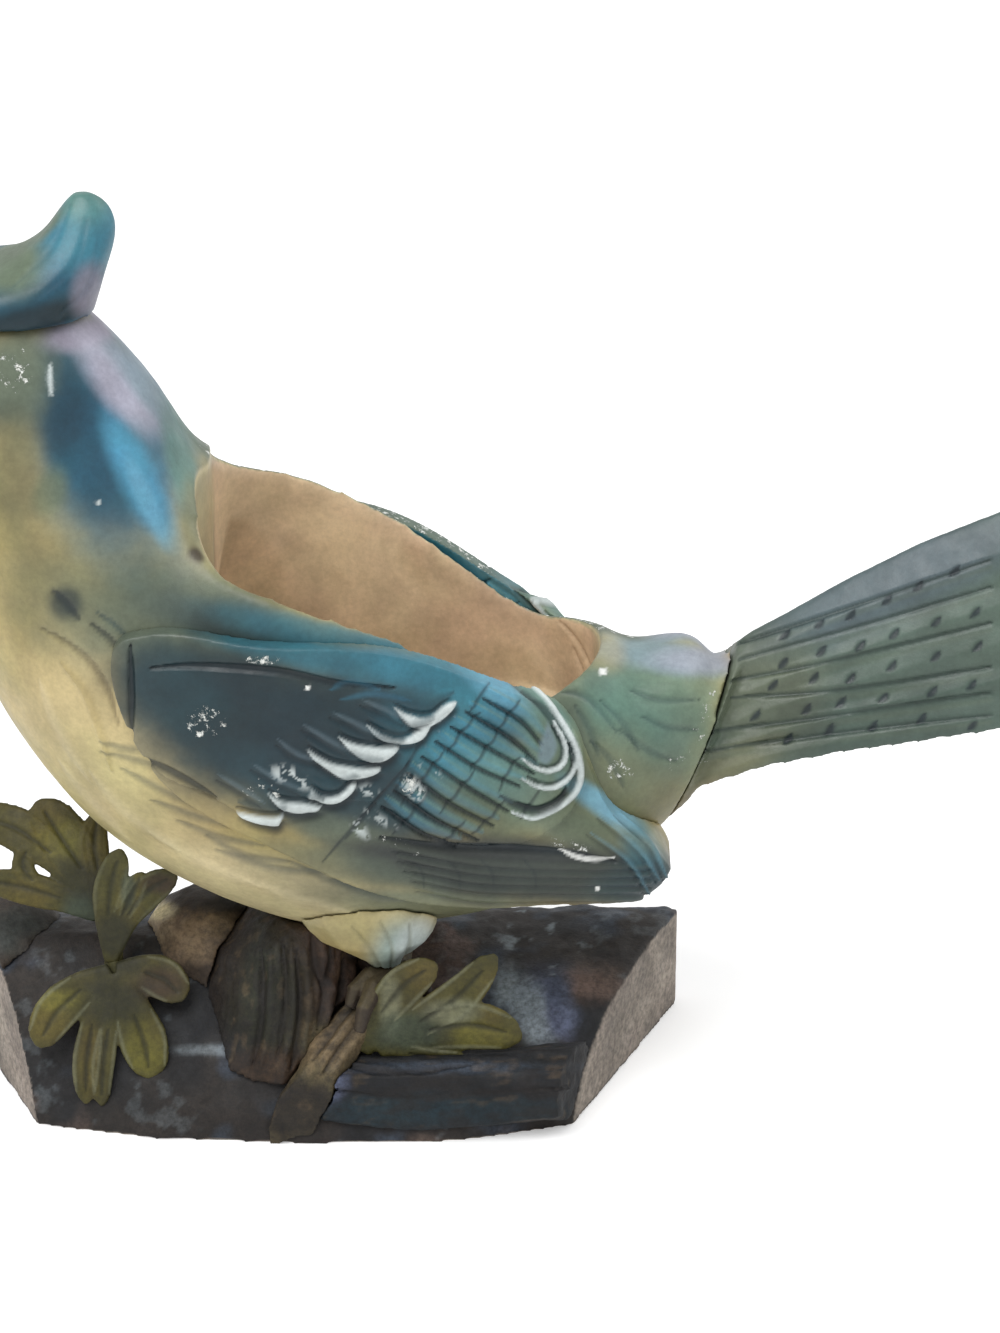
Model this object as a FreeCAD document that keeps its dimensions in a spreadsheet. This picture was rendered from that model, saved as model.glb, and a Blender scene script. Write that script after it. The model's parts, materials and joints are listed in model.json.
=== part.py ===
import FreeCAD, Part
import Sketcher
import math
import os

from FreeCAD import Rotation, Vector

# Crested jay planter figure in painted plaster.
# X runs from the beak to the tail, Y away from the painted front, Z up.
# The origin is the centre of the underside of the rock base.

doc = FreeCAD.newDocument("jay_planter")

# The sizes of the pieces, in millimetres.
SIZES = [
    ("base_back_wide", 191.0),
    ("base_front_wide", 124.0),
    ("base_deep", 72.0),
    ("base_tall", 28.5),
    ("base_corner", 5.0),
    ("relief", 12.0),
    ("bird_long", 300.0),
    ("bird_tall", 200.0),
    ("body_wide", 81.0),
    ("wall", 5.5),
    ("beak_long", 24.0),
    ("beak_thick", 15.0),
    ("beak_wide", 13.0),
    ("eye_size", 8.0),
    ("wing_proud", 2.6),
    ("covert_proud", 1.8),
    ("tail_wide", 42.0),
    ("rib", 0.8),
    ("peg_size", 8.0),
    ("peg_long", 30.0),
    ("seam", 0.2),
    ("leg_apart", 35.0),
    ("thigh_wide", 20.0),
    ("toe_size", 4.6),
    ("perch_size", 13.0),
    ("log_size", 19.0),
    ("wire_size", 2.5),
    ("wire_bed", 14.0),
    ("leaf_thick", 2.8),
    ("leaf_bend", 60.0),
    ("leaf_size", 40.0),
    ("stem_size", 5.0),
    ("room", 400.0),
]

sheet = doc.addObject("Spreadsheet::Sheet", "sizes")
for row, (name, value) in enumerate(SIZES, start=1):
    sheet.set("A%d" % row, name)
    sheet.set("B%d" % row, repr(value))
    sheet.setAlias("B%d" % row, name)
doc.recompute()


def size(name):
    """The value of one named size, in millimetres."""
    return float(sheet.get(name))


def bind(thing, **sizes):
    """Ties each property to an expression in the named sizes."""
    for prop, words in sizes.items():
        thing.setExpression(prop.replace("__", "."), words)
    return thing


def form(name, shape):
    """A shaped form that other objects of the document cut or join."""
    kept = doc.addObject("Part::Feature", name)
    kept.Shape = shape
    return kept


def cut(name, base, *tools):
    """base with each tool taken away in turn."""
    for i, tool in enumerate(tools):
        made = doc.addObject("Part::Cut", name if i == len(tools) - 1 else name + "_less")
        made.Base = base
        made.Tool = tool
        base = made
    return base


def fuse(name, *shapes):
    """One solid from several that overlap."""
    made = doc.addObject("Part::MultiFuse", name)
    made.Shapes = list(shapes)
    made.Refine = False
    return made


def common(name, base, tool):
    """What base and tool share."""
    made = doc.addObject("Part::Common", name)
    made.Base = base
    made.Tool = tool
    return made


def mirror(name, source):
    """The same piece on the other side of the bird."""
    made = doc.addObject("Part::Mirroring", name)
    made.Source = source
    made.Normal = Vector(0, 1, 0)
    return made


LONG = size("bird_long")
TALL = size("bird_tall")
GROUND = size("base_tall")
WIDE = size("body_wide")
SEAM = size("seam")
ROOM = size("room")
ACROSS = Vector(0, 1, 0)


def spot(along_share, up_share, side=0.0):
    """A point of the bird, from shares of its length and of its height."""
    return Vector(along_share * LONG, side, GROUND + up_share * TALL)


def closed(spots):
    """A smooth closed wire through the spots."""
    curve = Part.BSplineCurve()
    curve.interpolate(spots, PeriodicFlag=True)
    return Part.Wire([curve.toShape()])


def oval(middle, up, side, half_up, half_side, upper=2.0, lower=2.0, points=20):
    """A closed ring about middle, squarer where its power is over 2."""
    spots = []
    for i in range(points):
        angle = 2 * math.pi * i / points
        power = upper if math.cos(angle) > 0 else lower
        rise = math.copysign(abs(math.cos(angle)) ** (2 / power), math.cos(angle))
        reach = math.copysign(abs(math.sin(angle)) ** (2 / power), math.sin(angle))
        spots.append(middle + up * (rise * half_up) + side * (reach * half_side))
    return closed(spots)


def ring(top, low, half_wide, upper=2.0, grow=0.0, points=20):
    """A ring across the bird through top and low."""
    up = (top - low).normalize()
    half_tall = (top - low).Length / 2 + grow
    return oval((top + low) / 2, up, ACROSS, half_tall, half_wide + grow, upper, 2.0, points)


LOFT_DEGREE = 3


def skin(rings):
    """A solid with a smooth skin through the rings."""
    return Part.makeLoft(rings, True, False, False, LOFT_DEGREE)


def carved(rings):
    """A solid with flat-cut sides between many-cornered rings."""
    return Part.makeLoft(rings, True, True, False)


def corners_of(middle, up, side, half_up, half_side, count):
    """A many-cornered ring about middle."""
    spots = []
    for i in range(count + 1):
        angle = 2 * math.pi * (i % count) / count
        rise, reach = math.cos(angle), math.sin(angle)
        spots.append(middle + up * (rise * half_up) + side * (reach * half_side))
    return Part.makePolygon(spots)


def prism(wire, way):
    """The wire filled and drawn out along way."""
    return Part.Face(wire).extrude(way)


def beyond(front, back, way):
    """Everything on one side of the line through two places, right across the bird."""
    along = (back - front).normalize() * ROOM
    spots = [front - along, back + along, back + along + way * ROOM, front - along + way * ROOM]
    spots = [p - ACROSS * (ROOM / 2) for p in spots]
    return prism(Part.makePolygon(spots + spots[:1]), ACROSS * ROOM)


# Body
# Each ring's place on the back and on the belly, as shares of the bird's length and
# height, its half width as a share of the body's width, and its squareness above.
BODY_SHARES = [
    (0.349, 0.452, 0.287, 0.210, 0.200, 2.0),
    (0.323, 0.440, 0.257, 0.178, 0.245, 2.0),
    (0.280, 0.446, 0.207, 0.138, 0.305, 2.1),
    (0.233, 0.469, 0.160, 0.108, 0.355, 2.1),
    (0.190, 0.504, 0.118, 0.093, 0.400, 2.4),
    (0.142, 0.541, 0.073, 0.083, 0.440, 3.1),
    (0.087, 0.584, 0.027, 0.080, 0.475, 4.1),
    (0.035, 0.613, -0.017, 0.095, 0.496, 5.4),
    (-0.010, 0.635, -0.063, 0.123, 0.500, 5.4),
    (-0.046, 0.657, -0.112, 0.162, 0.488, 3.7),
    (-0.076, 0.690, -0.164, 0.221, 0.462, 2.5),
    (-0.098, 0.748, -0.206, 0.296, 0.425, 2.1),
    (-0.120, 0.805, -0.241, 0.386, 0.375, 2.0),
    (-0.148, 0.855, -0.260, 0.496, 0.333, 2.0),
    (-0.177, 0.895, -0.271, 0.598, 0.303, 2.0),
    (-0.213, 0.920, -0.284, 0.673, 0.286, 2.0),
    (-0.253, 0.925, -0.308, 0.715, 0.270, 2.0),
    (-0.293, 0.908, -0.333, 0.743, 0.235, 2.0),
    (-0.323, 0.880, -0.350, 0.770, 0.180, 2.0),
    (-0.342, 0.850, -0.357, 0.800, 0.105, 2.0),
]


def body_ring(shares, grow=0.0):
    """One ring of the body, grown or shrunk all round."""
    back_x, back_z, belly_x, belly_z, half, upper = shares
    return ring(spot(back_x, back_z), spot(belly_x, belly_z), half * WIDE, upper, grow)


body_form = form("body_form", skin([body_ring(s) for s in BODY_SHARES]))
seam_rings = [body_ring(s, SEAM) for s in BODY_SHARES]
seam_rings[-1].translate(Vector(-SEAM, 0, 0))
body_seam = form("body_seam", skin(seam_rings))

# The planter's hollow: the inner skin, a wall inside the outer one, and its mouth.
HOLLOW_SHARES = [(3, 2.0), (4, 1.0), (5, 1.0), (6, 1.0), (7, 1.0), (8, 1.0), (9, 1.6)]
hollow_rings = [body_ring(BODY_SHARES[i], -k * size("wall")) for i, k in HOLLOW_SHARES]
hollow_form = form("hollow_form", skin(hollow_rings))

# The mouth's outline from above, as shares of the bird's length and the body's width.
MOUTH_SHARES = [
    (-0.071, 0.0),
    (-0.068, 0.300),
    (-0.054, 0.380),
    (-0.019, 0.438),
    (0.026, 0.446),
    (0.066, 0.420),
    (0.106, 0.388),
    (0.150, 0.348),
    (0.187, 0.295),
    (0.215, 0.210),
    (0.234, 0.091),
    (0.238, 0.0),
]
MOUTH_FLOOR_SHARE = 0.33


def mouth_spots():
    """The mouth's outline, down one side and up the other."""
    near = [spot(x, MOUTH_FLOOR_SHARE, -y * WIDE) for x, y in MOUTH_SHARES]
    far = [spot(x, MOUTH_FLOOR_SHARE, y * WIDE) for x, y in MOUTH_SHARES[-2:0:-1]]
    return near + far


mouth_form = form("mouth_form", prism(closed(mouth_spots()), Vector(0, 0, ROOM)))
planter_hollow = fuse("planter_hollow", hollow_form, mouth_form)


def reach_to(solid, start, way):
    """Where a line from start along way first meets the solid's skin."""
    line = Part.makeLine(start, start + way * ROOM)
    meets = line.common(solid).Vertexes
    return min((v.Point for v in meets), key=lambda p: (p - start).Length)


# Crest
# A cap on a flat seat. Each ring's front and back, and its half width, as the same
# shares as the body's; the first ring is the seat.
CREST_SHARES = [
    (-0.322, 0.890, -0.152, 0.876, 0.245),
    (-0.286, 0.918, -0.142, 0.923, 0.212),
    (-0.223, 0.937, -0.135, 0.957, 0.138),
    (-0.192, 0.966, -0.134, 0.985, 0.088),
    (-0.175, 0.998, -0.142, 1.008, 0.046),
    (-0.164, 1.016, -0.153, 1.017, 0.018),
]
crest_rings = [
    ring(spot(fx, fz), spot(bx, bz), half * WIDE, 2.6) for fx, fz, bx, bz, half in CREST_SHARES
]
crest = form("crest", skin(crest_rings))
seat_front = spot(*CREST_SHARES[0][:2]) - Vector(0, 0, SEAM)
seat_back = spot(*CREST_SHARES[0][2:4]) - Vector(0, 0, SEAM)
crown = form("crown", beyond(seat_front, seat_back, Vector(0, 0, 1)))

# Beak
# It stands on the flat front of the head: its root's height and width, as shares of the
# head's flat height and of the beak's width, then each ring's place along the beak, the
# heights of its top and underside, and its half width.
ROOT_TALL_SHARE = 0.88
ROOT_HALF_SHARE = 0.42
BEAK_SHARES = [
    (0.24, 0.43, -0.41, 0.45),
    (0.46, 0.38, -0.37, 0.38),
    (0.70, 0.24, -0.29, 0.25),
    (0.92, 0.02, -0.20, 0.12),
    (1.00, -0.10, -0.16, 0.04),
]
face_top = spot(*BODY_SHARES[-1][:2])
face_low = spot(*BODY_SHARES[-1][2:4])
beak_root = (face_top + face_low) / 2


def beak_base():
    """The beak's first ring, a seam off the flat front of the head."""
    half_tall = (face_top - face_low) / 2 * ROOT_TALL_SHARE
    out = Vector(-half_tall.z, 0, half_tall.x).normalize() * SEAM
    half_wide = ROOT_HALF_SHARE * size("beak_wide")
    middle = beak_root + out
    return ring(middle + half_tall, middle - half_tall, half_wide, points=12)


def beak_ring(shares):
    """One ring of the beak, on the way to its tip."""
    along, top, low, half = shares
    middle = beak_root + Vector(-along * size("beak_long"), 0, 0)
    upper = middle + Vector(0, 0, top * size("beak_thick"))
    lower = middle + Vector(0, 0, low * size("beak_thick"))
    return ring(upper, lower, half * size("beak_wide"), points=12)


beak_form = form("beak_form", skin([beak_base()] + [beak_ring(s) for s in BEAK_SHARES]))
GAPE_SHARE = -0.12
gape = beak_root + Vector(0, 0, GAPE_SHARE * size("beak_thick"))


def below_gape(lift):
    """Everything below the line where the beak's halves meet."""
    start = gape + Vector(0, 0, lift)
    return beyond(start, start + Vector(1, 0, 0), Vector(0, 0, -1))


under_gape = form("under_gape", below_gape(-SEAM / 2))
over_gape = form("over_gape", below_gape(SEAM / 2))
beak_lower = common("beak_lower", beak_form, under_gape)
beak_upper = cut("beak_upper", beak_form, over_gape)

# Eyes, painted beads that stand proud of the sides of the head.
EYE_ALONG_SHARE = -0.293
EYE_UP_SHARE = 0.835
EYE_SUNK_SHARE = 0.18
EYE_BED_SHARE = 0.14
eye_line = spot(EYE_ALONG_SHARE, EYE_UP_SHARE, -ROOM / 2)
eye_skin = reach_to(body_form.Shape, eye_line, ACROSS)


def eye(name, seams):
    """The near eye with its flat back, grown by a number of seams."""
    bead = doc.addObject("Part::Sphere", name + "_bead")
    bind(bead, Radius="sizes.eye_size / 2 + %d * sizes.seam" % seams)
    bead.Placement.Base = eye_skin + ACROSS * (EYE_SUNK_SHARE * size("eye_size"))
    bed = doc.addObject("Part::Box", name + "_bed")
    bind(bed, Length="2 * sizes.eye_size", Width="sizes.eye_size", Height="2 * sizes.eye_size")
    sunk = ACROSS * (EYE_BED_SHARE * size("eye_size") + seams * SEAM)
    bed.Placement.Base = eye_skin - Vector(1, 0, 1) * size("eye_size") + sunk
    return cut(name, bead, bed)


left_eye = eye("left_eye", 0)
right_eye = mirror("right_eye", left_eye)
left_socket = eye("left_socket", 1)
right_socket = mirror("right_socket", left_socket)

# Wings
# The wing's outer face follows the body, but stays broad where its tip stands free: how
# much wider it is, how much lower, and how square below, from the tail to the breast.
FREE_SHARES = [
    (0.135, 0.030, 4.0),
    (0.115, 0.025, 4.0),
    (0.060, 0.010, 3.8),
    (0.022, 0.0, 3.4),
    (0.0, 0.0, 3.0),
    (0.0, 0.0, 2.5),
    (0.0, 0.0, 2.2),
    (0.0, 0.0, 2.0),
    (0.0, 0.0, 2.0),
    (0.0, 0.0, 2.0),
    (0.0, 0.0, 2.0),
    (0.0, 0.0, 2.0),
]


def wing_face(proud):
    """A form that stands proud of the body, and broader at the wing's tip."""
    rings = []
    for shares, (wider, deeper, lower) in zip(BODY_SHARES, FREE_SHARES):
        back_x, back_z, belly_x, belly_z, half, upper = shares
        top, low = spot(back_x, back_z), spot(belly_x, belly_z - deeper)
        up = (top - low).normalize()
        half_tall = (top - low).Length / 2 + proud
        half_wide = (half + wider) * WIDE + proud
        rings.append(oval((top + low) / 2, up, ACROSS, half_tall, half_wide, upper, lower))
    return skin(rings)


# The wing's outline and that of its coverts, as shares of the bird's length and height.
WING_SHARES = [
    (-0.122, 0.545),
    (-0.096, 0.553),
    (-0.031, 0.547),
    (0.045, 0.538),
    (0.100, 0.514),
    (0.163, 0.463),
    (0.207, 0.422),
    (0.230, 0.358),
    (0.250, 0.296),
    (0.290, 0.236),
    (0.295, 0.178),
    (0.240, 0.170),
    (0.150, 0.174),
    (0.065, 0.206),
    (-0.028, 0.287),
    (-0.104, 0.367),
    (-0.126, 0.440),
]
COVERT_SHARES = [
    (-0.124, 0.549),
    (-0.096, 0.557),
    (-0.031, 0.550),
    (0.045, 0.541),
    (0.100, 0.516),
    (0.163, 0.465),
    (0.208, 0.424),
    (0.226, 0.360),
    (0.208, 0.298),
    (0.172, 0.270),
    (0.116, 0.282),
    (0.082, 0.326),
    (0.040, 0.348),
    (-0.020, 0.320),
    (-0.060, 0.351),
    (-0.106, 0.385),
    (-0.128, 0.440),
]


WING_ROOT_SHARE = -0.17
COVERT_ROOT_SHARE = -0.20


def outline_prism(shares, root_share):
    """A wing's outline from the side, drawn out from beside the belly."""
    spots = [spot(x, z, root_share * WIDE) for x, z in shares]
    return prism(closed(spots), Vector(0, -ROOM, 0))


flight_form = common(
    "flight_form",
    form("flight_outline", outline_prism(WING_SHARES, WING_ROOT_SHARE)),
    form("flight_face", wing_face(size("wing_proud"))),
)
covert_form = common(
    "covert_form",
    form("covert_outline", outline_prism(COVERT_SHARES, COVERT_ROOT_SHARE)),
    form("covert_face", wing_face(size("wing_proud") + size("covert_proud"))),
)
wing_form = fuse("wing_form", flight_form, covert_form)
left_wing = cut("left_wing", wing_form, body_seam)
right_wing = mirror("right_wing", left_wing)

# Tail
# Each section's ridge and foot as shares of the bird's length and height, and its half
# width as a share of the tail's width. Before them comes the body's own flat end.
TAIL_SHARES = [
    (0.360, 0.467, 0.320, 0.285, 0.310),
    (0.385, 0.489, 0.372, 0.317, 0.350),
    (0.430, 0.532, 0.430, 0.339, 0.385),
    (0.490, 0.582, 0.490, 0.358, 0.430),
    (0.560, 0.628, 0.560, 0.381, 0.475),
    (0.640, 0.690, 0.640, 0.407, 0.515),
]
FEATHER_SHARES = [0.0, 0.32, 0.48, 0.68, 0.82, 1.0]
TAIL_ROUND_SHARE = 0.62
TAIL_UNDER_SHARES = [(0.5, 0.88), (0.0, 0.84), (-0.5, 0.88)]
TAIL_ROOT_SHARE = 0.93


def tail_outline(ridge, foot, places):
    """A closed outline from places across the ridge's line and down it."""
    down = foot - ridge
    return Part.makePolygon([ridge + down * z + ACROSS * y for y, z in places])


def tail_root():
    """The tail's outline on the body's flat end, which it fills."""
    back_x, back_z, belly_x, belly_z, half, _ = BODY_SHARES[0]
    ridge, foot = spot(back_x, back_z), spot(belly_x, belly_z)
    out = Vector(ridge.z - foot.z, 0, foot.x - ridge.x).normalize() * SEAM
    side = []
    for upper, lower in zip(FEATHER_SHARES, FEATHER_SHARES[1:]):
        for down in ((upper, (upper + lower) / 2) if upper else ((upper + lower) / 2,)):
            side.append(down * TAIL_ROOT_SHARE)
    side.append(TAIL_ROOT_SHARE)
    side = [(2 * half * WIDE * math.sqrt(z - z * z), z) for z in side]
    under = []
    for y, _ in TAIL_UNDER_SHARES:
        across = y * side[-1][0]
        under.append((across, (1 + math.sqrt(1 - (across / (half * WIDE)) ** 2)) / 2))
    over = [(-y, z) for y, z in side[::-1]] + [(0.0, 0.0)] + side
    return tail_outline(ridge + out, foot + out, over + under + over[:1])


def tail_section(shares):
    """The tail's ribbed outline where one row of shares puts it."""
    ridge_x, ridge_z, foot_x, foot_z, half = shares
    half_wide = half * size("tail_wide")
    rib = size("rib")
    side = []
    for upper, lower in zip(FEATHER_SHARES, FEATHER_SHARES[1:]):
        crown = (upper + lower) / 2
        if upper:
            side.append((half_wide * upper ** TAIL_ROUND_SHARE - rib / 2, upper))
        side.append((half_wide * crown ** TAIL_ROUND_SHARE + rib, crown))
    side.append((half_wide, 1.0))
    under = [(y * half_wide, z) for y, z in TAIL_UNDER_SHARES]
    over = [(-y, z) for y, z in side[::-1]] + [(0.0, 0.0)] + side
    return tail_outline(spot(ridge_x, ridge_z), spot(foot_x, foot_z), over + under + over[:1])


tail_rings = [tail_root()] + [tail_section(s) for s in TAIL_SHARES]
tail_blank = form("tail_blank", carved(tail_rings))

# The tail's end from the side: where each feather's rounded tip begins and ends.
TIP_SHARES = [
    (0.627, 0.720),
    (0.616, 0.580),
    (0.604, 0.520),
    (0.592, 0.460),
    (0.580, 0.410),
    (0.568, 0.340),
]
TIP_ROUND_SHARE = 0.012


def tail_end():
    """Everything beyond the rounded tips of the tail's feathers."""
    ends = [spot(x, z) for x, z in TIP_SHARES]
    edges = []
    for upper, lower in zip(ends, ends[1:]):
        crown = (upper + lower) / 2 + Vector(TIP_ROUND_SHARE * LONG, 0, 0)
        edges.append(Part.Arc(upper, crown, lower).toShape())
    far_low = Vector(ROOM, 0, ends[-1].z)
    far_high = Vector(ROOM, 0, ends[0].z)
    edges.append(Part.makeLine(ends[-1], far_low))
    edges.append(Part.makeLine(far_low, far_high))
    edges.append(Part.makeLine(far_high, ends[0]))
    beyond = prism(Part.Wire(edges), Vector(0, ROOM, 0))
    beyond.translate(Vector(0, -ROOM / 2, 0))
    return beyond


tail_form = cut("tail_form", tail_blank, form("tail_end", tail_end()))

# Dowel that pins the tail to the rump.
PEG_ALONG_SHARE = 0.265
PEG_UP_SHARE = 0.365


def peg(name, start, way, radius_words, length_words):
    """A round pin from start along way."""
    made = doc.addObject("Part::Cylinder", name)
    bind(made, Radius=radius_words, Height=length_words)
    made.Placement = FreeCAD.Placement(start, Rotation(Vector(0, 0, 1), way))
    return made


peg_start = spot(PEG_ALONG_SHARE, PEG_UP_SHARE)
bore_start = peg_start - Vector(SEAM, 0, 0)
tail_dowel = peg("tail_dowel", peg_start, Vector(1, 0, 0), "sizes.peg_size / 2", "sizes.peg_long")
tail_bore = peg(
    "tail_bore",
    bore_start,
    Vector(1, 0, 0),
    "sizes.peg_size / 2 + sizes.seam",
    "sizes.peg_long + 2 * sizes.seam",
)
tail = cut("tail", tail_form, tail_bore)

# Base
# Its plan is a trapezoid, pushed out at the back and with its corners taken off.
plan = doc.addObject("PartDesign::Body", "plan")
floor_plane = [f for f in plan.Origin.OriginFeatures if f.Role == "XY_Plane"][0]
plan_sketch = plan.newObject("Sketcher::SketchObject", "plan_sketch")
plan_sketch.AttachmentSupport = [(floor_plane, "")]
plan_sketch.MapMode = "FlatFace"
half_back = size("base_back_wide") / 2
half_front = size("base_front_wide") / 2
half_deep = size("base_deep") / 2
corners = [
    Vector(-half_front, -half_deep, 0),
    Vector(half_front, -half_deep, 0),
    Vector(half_back, half_deep, 0),
    Vector(-half_back, half_deep, 0),
]
for start, end in zip(corners, corners[1:] + corners[:1]):
    plan_sketch.addGeometry(Part.LineSegment(start, end), False)
for i in range(4):
    plan_sketch.addConstraint(Sketcher.Constraint("Coincident", i, 2, (i + 1) % 4, 1))
plan_sketch.addConstraint(Sketcher.Constraint("Horizontal", 0))
plan_sketch.addConstraint(Sketcher.Constraint("Horizontal", 2))
for line, words in ((0, "sizes.base_front_wide / 2"), (2, "sizes.base_back_wide / 2")):
    for point in (1, 2):
        sign = -1 if (line == 0) == (point == 1) else 1
        drive = plan_sketch.addConstraint(
            Sketcher.Constraint("DistanceX", -1, 1, line, point, sign * half_back)
        )
        plan_sketch.setExpression("Constraints[%d]" % drive, "%d * %s" % (sign, words))
for line, sign in ((0, -1), (2, 1)):
    drive = plan_sketch.addConstraint(
        Sketcher.Constraint("DistanceY", -1, 1, line, 1, sign * half_deep)
    )
    plan_sketch.setExpression("Constraints[%d]" % drive, "%d * sizes.base_deep / 2" % sign)
plan_pad = plan.newObject("PartDesign::Pad", "plan_pad")
plan_pad.Profile = plan_sketch
bind(plan_pad, Length="sizes.room")
plan_corners = plan.newObject("PartDesign::Chamfer", "plan_corners")
doc.recompute()
back_edges = []
for i, edge in enumerate(plan_pad.Shape.Edges, start=1):
    a, b = edge.Vertexes[0].Point, edge.Vertexes[-1].Point
    upright = abs(a.z - b.z) > half_deep
    if upright and a.y > 0:
        back_edges.append("Edge%d" % i)
plan_corners.Base = (plan_pad, back_edges)
bind(plan_corners, Size="sizes.base_corner")
plan.Tip = plan_corners

# The rock's skin: how high it stands from the front edge to the back, as shares of the
# depth and of the base's height, and the swells on it: where each lies, how far it
# spreads along and across, as shares of the base, and how much of the relief it adds.
SLOPE_SHARES = [
    (-0.030, -0.60),
    (0.000, 0.05),
    (0.030, 0.26),
    (0.080, 0.46),
    (0.160, 0.62),
    (0.280, 0.76),
    (0.420, 0.86),
    (0.580, 0.93),
    (0.760, 0.98),
    (0.900, 0.97),
    (1.080, 0.86),
]
FRONT_SHARES = [(-1.1, 0.62), (-0.75, 0.72), (-0.4, 0.93), (0.0, 1.0), (0.4, 0.97),
                (0.75, 0.72), (1.1, 0.60)]
SWELL_SHARES = [
    (-0.270, -0.06, 0.200, 0.30, 1.30),
    (-0.400, 0.20, 0.080, 0.22, 0.20),
    (-0.070, 0.06, 0.110, 0.30, 0.65),
    (0.185, 0.20, 0.060, 0.16, 0.28),
    (0.330, -0.08, 0.080, 0.14, 0.25),
    (0.400, 0.30, 0.060, 0.20, 0.18),
    (0.260, -0.28, 0.070, 0.12, -0.20),
    (-0.190, -0.36, 0.070, 0.14, -0.22),
]


FRONT_FADE_SHARE = 0.17


def between(table, at):
    """The value that a table of pairs gives at a place between its rows."""
    for (a, low), (b, high) in zip(table, table[1:]):
        if at <= b:
            break
    return low + (high - low) * (at - a) / (b - a)


def rock_height(along, across, depth_share):
    """The height of the rock at a place on its plan."""
    tall = between(SLOPE_SHARES, depth_share) * size("base_tall")
    for x, y, spread_x, spread_y, rise in SWELL_SHARES:
        far_x = (along / size("base_back_wide") - x) / spread_x
        far_y = (across / size("base_deep") - y) / spread_y
        swell = math.exp(-(far_x ** 2) - far_y ** 2)
        fade = min(1.0, max(0.0, depth_share / FRONT_FADE_SHARE))
        tall += rise * size("relief") * swell * fade
    return tall


ROCK_COLUMNS = 24
ROCK_WIDER_SHARE = 0.54


def rock_skin(lift):
    """Everything below the rock's skin, lifted a little."""
    columns = []
    for column in range(ROCK_COLUMNS + 1):
        along = (2 * column / ROCK_COLUMNS - 1) * ROCK_WIDER_SHARE * size("base_back_wide")
        reach = between(FRONT_SHARES, along / half_back) * half_deep
        spots = []
        for depth, _ in SLOPE_SHARES:
            across = -reach + depth * (reach + half_deep)
            spots.append(Vector(along, across - lift, rock_height(along, across, depth) + lift))
        sunk = [Vector(along, p.y, -size("base_tall")) for p in (spots[-1], spots[0])]
        columns.append(Part.makePolygon(spots + sunk + spots[:1]))
    return carved(columns)


rock_blank = common("rock_blank", plan, form("rock_skin", rock_skin(0.0)))
rock_seam = form("rock_seam", rock_skin(SEAM))


# Boulders, stump, perch branch and log, set into the rock.
def stack(stations, grow=0.0, sides=12):
    """A form through level rings: middle, half length and half depth of each."""
    rings = []
    for x, y, z, half_x, half_y in stations:
        middle = Vector(x, y, z)
        rings.append(
            corners_of(middle, Vector(1, 0, 0), ACROSS, half_x + grow, half_y + grow, sides)
        )
    return carved(rings)


def base_stations(shares):
    """Stations from shares of the base's width, depth and height."""
    back, deep, tall = size("base_back_wide"), size("base_deep"), size("base_tall")
    return [(x * back, y * deep, z * tall, hx * back, hy * deep) for x, y, z, hx, hy in shares]


LEFT_BOULDER_SHARES = [
    (-0.395, 0.12, 0.80, 0.085, 0.24),
    (-0.395, 0.12, 1.00, 0.092, 0.25),
    (-0.395, 0.11, 1.20, 0.084, 0.22),
    (-0.392, 0.11, 1.36, 0.062, 0.17),
    (-0.388, 0.11, 1.45, 0.032, 0.09),
    (-0.386, 0.11, 1.475, 0.010, 0.03),
]
RIGHT_BOULDER_SHARES = [
    (-0.122, 0.06, 0.80, 0.092, 0.27),
    (-0.120, 0.06, 1.05, 0.102, 0.28),
    (-0.120, 0.05, 1.30, 0.096, 0.25),
    (-0.122, 0.05, 1.50, 0.076, 0.20),
    (-0.125, 0.05, 1.64, 0.042, 0.12),
    (-0.126, 0.05, 1.68, 0.014, 0.04),
]
STUMP_SHARES = [
    (-0.025, -0.03, 0.50, 0.150, 0.42),
    (-0.021, -0.03, 0.90, 0.126, 0.40),
    (-0.026, -0.04, 1.20, 0.108, 0.37),
    (-0.023, -0.06, 1.42, 0.094, 0.32),
    (-0.008, -0.08, 1.62, 0.070, 0.27),
    (0.004, -0.10, 1.80, 0.036, 0.20),
]
left_boulder_form = form("left_boulder_form", stack(base_stations(LEFT_BOULDER_SHARES)))
left_boulder_seam = form("left_boulder_seam", stack(base_stations(LEFT_BOULDER_SHARES), SEAM))
right_boulder_form = form("right_boulder_form", stack(base_stations(RIGHT_BOULDER_SHARES)))
right_boulder_seam = form("right_boulder_seam", stack(base_stations(RIGHT_BOULDER_SHARES), SEAM))
stump_form = form("stump_form", stack(base_stations(STUMP_SHARES)))
stump_seam = form("stump_seam", stack(base_stations(STUMP_SHARES), SEAM))


def bough(path, grow=0.0, sides=9):
    """A tapering round limb along a path of points and radii."""
    rings = []
    for i, (middle, radius) in enumerate(path):
        before = path[max(i - 1, 0)][0]
        after = path[min(i + 1, len(path) - 1)][0]
        way = (after - before).normalize()
        side = way.cross(Vector(0, 0, 1))
        side = side.normalize() if side.Length > SEAM else Vector(1, 0, 0)
        up = side.cross(way)
        rings.append(corners_of(middle, up, side, radius + grow, radius + grow, sides))
    return carved(rings)


def base_path(shares, thick):
    """A path from shares of the base's width, depth and height, and of a thickness."""
    back, deep, tall = size("base_back_wide"), size("base_deep"), size("base_tall")
    return [(Vector(x * back, y * deep, z * tall), r * thick) for x, y, z, r in shares]


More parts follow.
